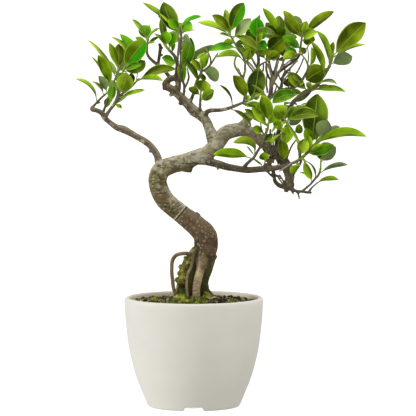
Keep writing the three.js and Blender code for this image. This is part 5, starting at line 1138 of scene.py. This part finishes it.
def leafy_stem_tree():
    grow = Growth(
        "leafy_stem", Stem_Sides=8, Blade_Points=16, Thickness=0.03, Fold=FOLD, Wave=0.06,
        Ring_Spacing=4.5 * MM, Ring_Height=0.22, Stem=STEM_PAINT, Leaf=LEAF_PAINT)
    skeleton = grow.given("Geometry")
    kind = grow.named("kind")
    girth = grow.named("girth")
    upright = grow.named("up", "FLOAT_VECTOR")

    stems = grow.chains(grow.separate(skeleton, kind < 0.5))
    place = grow.add("GeometryNodeSplineParameter", output="Length") / grow.given("Ring Spacing")
    ring = abs(place.fraction() - 0.5).between(0.34, 0.5) * grow.given("Ring Height")
    stems = grow.sweep(stems, grow.circle(grow.given("Stem Sides")), girth * (1 + ring))
    stems = grow.swell(stems, (grow.noise(2.2) - 0.5) * 0.5 * MM)

    stalks = grow.chains(grow.separate(skeleton, kind > 1.5))
    stalks = grow.sweep(stalks, grow.circle(6), girth)

    # The blade's cross-section is a thin folded line, and its width follows the outline
    blades = grow.chains(grow.separate(skeleton, (kind > 0.5) * (kind < 1.5)))
    facing = {"Curve": blades, "Normal": upright}
    blades = grow.add("GeometryNodeSetCurveNormal", facing, mode="FREE")
    factor = grow.add("GeometryNodeSplineParameter", output="Factor")
    blades = grow.store(blades, "along", factor)
    reach = grow.add("ShaderNodeFloatCurve", {"Value": factor}, shape=BLADE_OUTLINE)
    section = grow.circle(grow.given("Blade Points"))
    spot = grow.part(grow.position(), "X")
    section = grow.store(section, "across", spot * -1)
    section = grow.store(section, "upper", spot.other("Y"))
    across = grow.named("across")
    fold = (abs(across) ** 1.35) * grow.given("Fold")
    rise = fold + grow.named("upper") * grow.given("Thickness")
    section = grow.put(section, grow.combine(rise, across))
    blades = grow.sweep(blades, section, girth * reach)
    phase = grow.named("along") * 9 + grow.named("shade") * 20 + across * 2.2
    wave = phase.sine() * across * across * girth * grow.given("Wave")
    blades = grow.swell(blades, wave, upright)
    grow.finish(grow.joined(grow.painted(stems, "Stem"), grow.painted(stalks, "Stem"),
                            grow.painted(blades, "Leaf")))
    return grow


def add_stem(skeleton, route, green_from):
    places, rows = divided(route, STEM_STEP)
    tints = [blend(STEM_BROWN, STEM_GREEN, u, green_from, 0.45, 1 if row.w < THICK_STEM else 0.4)
             for u, row in zip(places, rows)]
    skeleton.chain([row.xyz for row in rows], kind=0.0, girth=[row.w * MM for row in rows],
                   up=UP, tint=tints, shade=0.5, fresh=0.0)
    end, before = rows[-1].xyz, rows[-2].xyz
    ahead = (end - before).normalized()
    skeleton.chain([end + ahead * BUD_LENGTH * t for t, _ in BUD_SHAPE], kind=2.0,
                   girth=[rows[-1].w * r * MM for _, r in BUD_SHAPE],
                   up=UP, tint=BUD, shade=0.5, fresh=0.0)


def add_leaf(skeleton, midrib, width, tone, shade):
    *tint, fresh = LEAF_TONES[tone]
    rows = [BLADE_FROM + (1 - BLADE_FROM) * i / BLADE_ROWS for i in range(BLADE_ROWS + 1)]
    skeleton.chain([midrib.at(t) for t in rows], kind=1.0, girth=HALF_WIDTH * width * MM,
                   up=[midrib.upright(t) for t in rows], tint=colour(*tint), shade=shade,
                   fresh=fresh)
    stalk = [i / (STALK_POINTS - 1) * STALK_TO for i in range(STALK_POINTS)]
    small = min(1.0, (midrib.tip - midrib.foot).length / FULL_LEAF)
    girths = [STALK_RADIUS * (0.35 + 0.65 * small) * max(1 - t * 0.9, 0.12) * MM for t in stalk]
    drop = [midrib.at(t) - midrib.upright(t) * 0.25 * small * min(t / BLADE_FROM, 1)
            for t in stalk]
    skeleton.chain(drop, kind=2.0, girth=girths, up=UP, tint=STEM_GREEN, shade=shade, fresh=0.0)


def dress_stems(tree, name, stems, leaves):
    skeleton = Skeleton(kind="FLOAT", girth="FLOAT", up="FLOAT_VECTOR", tint="FLOAT_COLOR",
                        shade="FLOAT", fresh="FLOAT")
    routes = [placed(stem) for stem in stems]
    for route in routes:
        add_stem(skeleton, route, GREEN_FROM.get(name, USUAL_GREEN_FROM))
    for i, (at, x, z, depth, width, roll, tone, *rest) in enumerate(leaves):
        bend, sweep, stem = (*rest, 0, 0, 0)[:3]
        foot = curve(routes[stem], at).xyz
        midrib = Midrib(foot, seen(x, z, foot.y + depth), roll, bend, sweep)
        shade = (i * 0.618 + len(name) * 0.37) % 1.0
        add_leaf(skeleton, midrib, width, tone, shade)
    scaffold = skeleton.scaffold(name)
    tree.put_on(scaffold)
    piece = baked("fine_" + name, scaffold)
    smooth(piece, 80)
    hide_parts(name)
    return piece


# Pot: the outline turned round its axis, with notches in the foot ring and drain holes
def pot_outline():
    lip = []
    for i in range(1, LIP_STEPS):
        angle = math.pi * i / LIP_STEPS
        out, rise = LIP_RADIUS * math.cos(angle), LIP_RADIUS * math.sin(angle)
        lip.append([LIP_MIDDLE + out, LIP_HEIGHT + rise])
    return [[0, UNDERSIDE]] + POT_OUTSIDE + lip + POT_INSIDE + [[0, FLOOR]]


def pot_cutters():
    """Prisms for the notches and drills for the drain holes, as one mesh"""
    points, faces = [], []

    def add_prism(near, far, turned=False):
        start, count = len(points), len(near)
        points.extend(near + far)
        sides = [list(range(start, start + count)),
                 list(range(start + 2 * count - 1, start + count - 1, -1))]
        for i in range(count):
            j = (i + 1) % count
            sides.append([start + i, start + count + i, start + count + j, start + j])
        faces.extend(side[::-1] if turned else side for side in sides)

    inner = POT_OUTSIDE[0][0] - NOTCH_FROM
    for angle in NOTCH_ANGLES:
        turn = math.radians(angle)
        out = Vector((math.cos(turn), math.sin(turn), 0))
        side = Vector((-math.sin(turn), math.cos(turn), 0))
        add_prism(*([out * depth + side * x + UP * z for x, z in NOTCH]
                    for depth in (inner, inner + NOTCH_LENGTH)))
    for x, y in [(0, 0)] + round_points(DRAIN_RING, 3, DRAIN_TURN):
        ring = [(x + a, y + b) for a, b in round_points(DRAIN_RADIUS, DRAIN_SIDES)]
        add_prism(*([Vector((*place, z)) for place in ring] for z in (DRILL_LOW, DRILL_HIGH)),
                  turned=True)
    return new_mesh("pot_cutters", [p * MM + POT_AXIS for p in points], [], faces)


def make_pot():
    cutters = pot_cutters()
    grow = Growth("turned_pot", Sides=POT_SIDES, Path=50.0 * MM, Cutters=cutters, Glaze=POT_PAINT)
    path = grow.circle(grow.given("Sides"), grow.given("Path"))
    path = grow.add("GeometryNodeSetCurveNormal", {"Curve": path}, mode="Z_UP")
    place = grow.part(grow.position(), "X")
    turned = grow.combine(place - grow.given("Path"), place.other("Z") * -1)
    shell = grow.sweep(path, grow.put(grow.chains(grow.given("Geometry")), turned), 1.0)
    welded = {"Geometry": shell, "Distance": 0.01 * MM}
    shell = grow.add("GeometryNodeMergeByDistance", welded)
    shell = grow.add("GeometryNodeTransform", {"Geometry": shell, "Translation": POT_AXIS})
    cut = {"Mesh 1": shell, "Mesh 2": grow.mesh_of("Cutters")}
    shell = grow.add("GeometryNodeMeshBoolean", cut, "Mesh", operation="DIFFERENCE", solver="EXACT")
    grow.finish(grow.painted(shell, "Glaze"))

    points = [Vector((r, 0, z)) * MM for r, z in pot_outline()]
    edges = [(i, i + 1) for i in range(len(points) - 1)]
    scaffold = new_mesh("pot_outline", points, edges, [])
    grow.put_on(scaffold)
    bevel = scaffold.modifiers.new("soft_edges", "BEVEL")
    bevel.width, bevel.segments = SOFT_EDGE * MM, 2
    bevel.limit_method, bevel.angle_limit = "ANGLE", math.radians(42)
    piece = baked("white_pot", scaffold)
    bpy.data.objects.remove(cutters)
    smooth(piece, 40)
    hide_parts("pot")
    return piece


# Wood: the routes swept, fused into one skin and given their bark
def wood_tint(name, row, u):
    if name in ROOTS:
        return blend(ROUTE_TINTS[name], TRUNK_FOOT, row.z, 168, 18)
    if name == "up_limb":
        return blend(TRUNK_PALE, UP_LIMB_BROWN, row.z, 334, 20)
    if name == "lower_limb":
        return blend(TWIG_BROWN, STEM_GREEN, u, 0.82, 0.12)
    if name.startswith(("pale", "low_4")):
        return TWIG_PALE
    if name != "trunk":
        return ROUTE_TINTS.get(name, TWIG_BROWN)
    if u < 0.21:
        return blend(TRUNK_FOOT, TRUNK_STOCK, row.z, 186, 26)
    if u < 0.56:
        return blend(TRUNK_SCION, TRUNK_PALE, u, 0.38, 0.06)
    return blend(TRUNK_PALE, TRUNK_TOP, u, 0.62, 0.15)


def wood_skeleton():
    skeleton = Skeleton(girth="FLOAT", run="FLOAT", moss="FLOAT", tint="FLOAT_COLOR")
    for name, route in WOOD.items():
        places, rows = divided(placed(route), WOOD_STEP)
        run, runs = 0.0, []
        for i, row in enumerate(rows):
            run += (row.xyz - rows[max(i - 1, 0)].xyz).length
            runs.append(run)
        skeleton.chain([row.xyz for row in rows], run=runs,
                       girth=[max(row.w, THINNEST) * MM for row in rows],
                       moss=1.0 if name == "mossy_root" else 0.0,
                       tint=[wood_tint(name, row, u) for u, row in zip(places, rows)])
    return skeleton


def make_wood():
    skeleton = wood_skeleton()
    routes = skeleton.scaffold("wood_routes")
    swept = Growth("swept_wood", Sides=18)
    lines = swept.chains(swept.given("Geometry"))
    swept.finish(swept.sweep(lines, swept.circle(swept.given("Sides")), swept.named("girth")))

    # The fused skin takes its values from the routes and then its relief
    grow = Growth("bark_relief", Routes=routes, Sides=12, Lumps=1.3 * MM, Wrinkles=0.16 * MM,
                  Bark=BARK_PAINT)
    skin = grow.given("Geometry")
    lines = grow.chains(grow.mesh_of("Routes"))
    tubes = grow.sweep(lines, grow.circle(grow.given("Sides")), grow.named("girth"))
    for name, kind in skeleton.kinds.items():
        inputs = {"Mesh": tubes, "Value": grow.named(name, kind)}
        taken = grow.add("GeometryNodeSampleNearestSurface", inputs, "Value", data_type=kind)
        skin = grow.store(skin, name, grow.eased(taken, 5, kind), kind)
    thick = grow.named("girth").between(2.0 * MM, 8.0 * MM)
    lumps = (grow.noise(11) - 0.5) * grow.given("Lumps") * thick
    twists = (grow.noise(3.5) - 0.5) * 0.5 * MM
    wrinkles = (grow.named("run") * RING_PITCH + grow.noise(9) * 14).sine() * grow.given("Wrinkles")
    wrinkles = wrinkles * thick * grow.noise(11).between(0.5, 0.7)
    mossy = (grow.noise(4.5) - 0.42) * grow.named("moss") * 3.2 * MM
    skin = grow.swell(skin, lumps + twists + wrinkles + mossy)
    # How far the skin faces up, which the bark uses for its painted light and shade
    skin = grow.store(skin, "upward", grow.eased(grow.part(grow.normal(), "Z"), 6))
    grow.finish(grow.painted(skin, "Bark"))

    scaffold = skeleton.scaffold("wood_skin")
    swept.put_on(scaffold)
    fuse = scaffold.modifiers.new("fuse", "REMESH")
    fuse.mode, fuse.voxel_size, fuse.use_smooth_shade = "VOXEL", VOXEL * MM, True
    grow.put_on(scaffold)
    piece = baked("grown_wood", scaffold)
    bpy.data.objects.remove(routes)
    piece.data.shade_smooth()
    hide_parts("trunk")
    return piece


# Soil crumbs on the soil's own top, and moss in small cushions
def make_crumbs(soil):
    scaffold = new_object("soil_top", bpy.data.meshes.new_from_object(soil))
    grow = Growth("soil_crumbs", Grains=150000.0, Grain_Size=1.2 * MM, Clods=24000.0,
                  Clod_Size=2.9 * MM, Seed=7, Lowest=120.0 * MM, Soil=SOIL_PAINT)
    facing = grow.part(grow.normal(), "Z")
    height = grow.part(grow.position(), "Z")
    wanted = (facing > 0.4) * (height > grow.given("Lowest"))
    top = grow.separate(grow.given("Geometry"), wanted)
    parts = []
    for name, size, divisions in (("Grains", "Grain Size", 1), ("Clods", "Clod Size", 2)):
        lumps = grow.copies(
            grow.ball(grow.given(size), divisions), grow.scattered(top, name),
            Rotation=grow.random((0, 0, 0), (6.3, 6.3, 6.3), 3),
            Scale=grow.random((0.4, 0.4, 0.3), (1.5, 1.5, 1.2), 5))
        lumps = grow.store(lumps, "shade", grow.random(0.0, 1.0, 9), domain="INSTANCE")
        parts.append(grow.realized(lumps))
    crumbs = grow.swell(grow.joined(*parts), (grow.noise(1.7) - 0.42) * 1.3 * MM)
    grow.finish(grow.painted(crumbs, "Soil"))
    grow.put_on(scaffold)
    piece = baked("soil_crumbs", scaffold)
    return piece


def make_moss():
    skeleton = Skeleton(size="FLOAT")
    for x, z, depth, radius in MOSS:
        skeleton.chain([seen(x, z, depth)], size=radius * MM)
    grow = Growth("moss_cushions", Tufts=420000.0, Tuft_Length=1.5 * MM, Seed=4, Moss=MOSS_PAINT)
    size = grow.named("size")
    cushions = grow.copies(grow.ball(1.0, 4), grow.given("Geometry"),
                           Scale=grow.combine(size, size, size * 0.85))
    cushions = grow.swell(grow.realized(cushions), (grow.noise(4.5) - 0.5) * 4.5 * MM)
    cushions = grow.store(cushions, "shade", grow.noise(3) * 0.6)

    # Tufts stand on the cushions, each leaning its own way
    spots = grow.scattered(cushions, "Tufts")
    lean = {"Rotation": spots.other("Rotation"),
            "Rotate By": grow.random((-0.7, -0.7, 0), (0.7, 0.7, 6), 2)}
    shape = {"Vertices": 3, "Radius Bottom": 0.32 * MM, "Radius Top": 0.0,
             "Depth": grow.given("Tuft Length")}
    tufts = grow.copies(
        grow.add("GeometryNodeMeshCone", shape, "Mesh"), spots,
        Rotation=grow.add("FunctionNodeRotateRotation", lean, rotation_space="LOCAL"),
        Scale=grow.random(0.5, 1.3, 8))
    tufts = grow.store(tufts, "shade", grow.random(0.08, 0.92, 6), domain="INSTANCE")
    grow.finish(grow.joined(grow.painted(cushions, "Moss"), grow.painted(tufts, "Moss")))
    scaffold = skeleton.scaffold("moss_spots")
    grow.put_on(scaffold)
    piece = baked("moss_cushions", scaffold)
    piece.data.shade_smooth()
    return piece


# The studio: camera, floor, lights and sky
def make_camera():
    camera = bpy.data.cameras.new("front_view")
    camera.lens, camera.sensor_width = LENS, SENSOR
    camera.clip_start, camera.clip_end = 0.1, 100
    bpy.context.scene.camera = aimed("front_view", camera, EYE * MM + POT_AXIS, AIM - EYE)


def area_light(name, place, aim, size, power, tint):
    light = bpy.data.lights.new(name, "AREA")
    light.shape, light.size, light.energy, light.color = "DISK", size, power, tint[:3]
    aimed(name, light, place, Vector(aim) - Vector(place)).visible_camera = False


def make_floor():
    sides, radius = 96, 24.0
    ring = [(x, y, 0) for x, y in round_points(radius, sides)]
    floor = new_mesh("studio_floor", ring, [], [list(range(sides))])
    paint = Paint("studio_floor", colour(214, 214, 212))
    floor.data.materials.append(paint.finish(
        0.9, Emission_Color=(1, 1, 1, 1), Emission_Strength=0.72, Specular_IOR_Level=0.0))
    floor.visible_diffuse = floor.visible_glossy = False


def make_sky():
    """A plain sky, lighter from the right, that the camera sees as white"""
    world = bpy.data.worlds.new("studio_sky")
    world.use_nodes = True
    net = Net(world.node_tree)
    right = net.part(net.add("ShaderNodeTexCoord", output="Generated"), "X")
    up = right.other("Z")
    light = right * 0.3 + up * 0.04 + right * up.at_most(0.0) * 1.5 + 0.7
    lit = {"Color": colour(255, 253, 248), "Strength": light.at_least(0.05)}
    white = {"Color": (1, 1, 1, 1), "Strength": 1.0}
    lit, white = (net.add("ShaderNodeBackground", inputs) for inputs in (lit, white))
    shown = net.add("ShaderNodeLightPath", output="Is Camera Ray")
    sky = net.add("ShaderNodeMixShader", {0: shown, 1: lit, 2: white})
    net.add("ShaderNodeOutputWorld", {"Surface": sky})
    bpy.context.scene.world = world


POT_PAINT = glazed_white()
LEAF_PAINT = leaf_skin()
STEM_PAINT = young_stem()
BARK_PAINT = bark()
SOIL_PAINT = soil_mix()
MOSS_PAINT = moss_green()

bpy.context.scene.view_settings.view_transform = "Standard"
make_camera()
make_floor()
make_sky()
area_light("key_from_left", (-2.6, -0.5, 1.0), (0, 0, 0.25), 1.4, 31, colour(250, 252, 255))
area_light("soft_from_above", (0.4, -0.8, 2.6), (0, 0, 0.3), 1.6, 16, colour(255, 255, 255))

soil_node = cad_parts["soil"]
soil_node.data.materials.clear()
soil_node.data.materials.append(SOIL_PAINT)

pieces = [make_pot(), make_wood(), make_crumbs(soil_node), make_moss()]
leafy = leafy_stem_tree()
pieces += [dress_stems(leafy, name, *parts) for name, parts in LEAFY_STEMS.items()]
for piece in pieces:
    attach(piece, "root")

for group in list(bpy.data.node_groups):
    bpy.data.node_groups.remove(group)
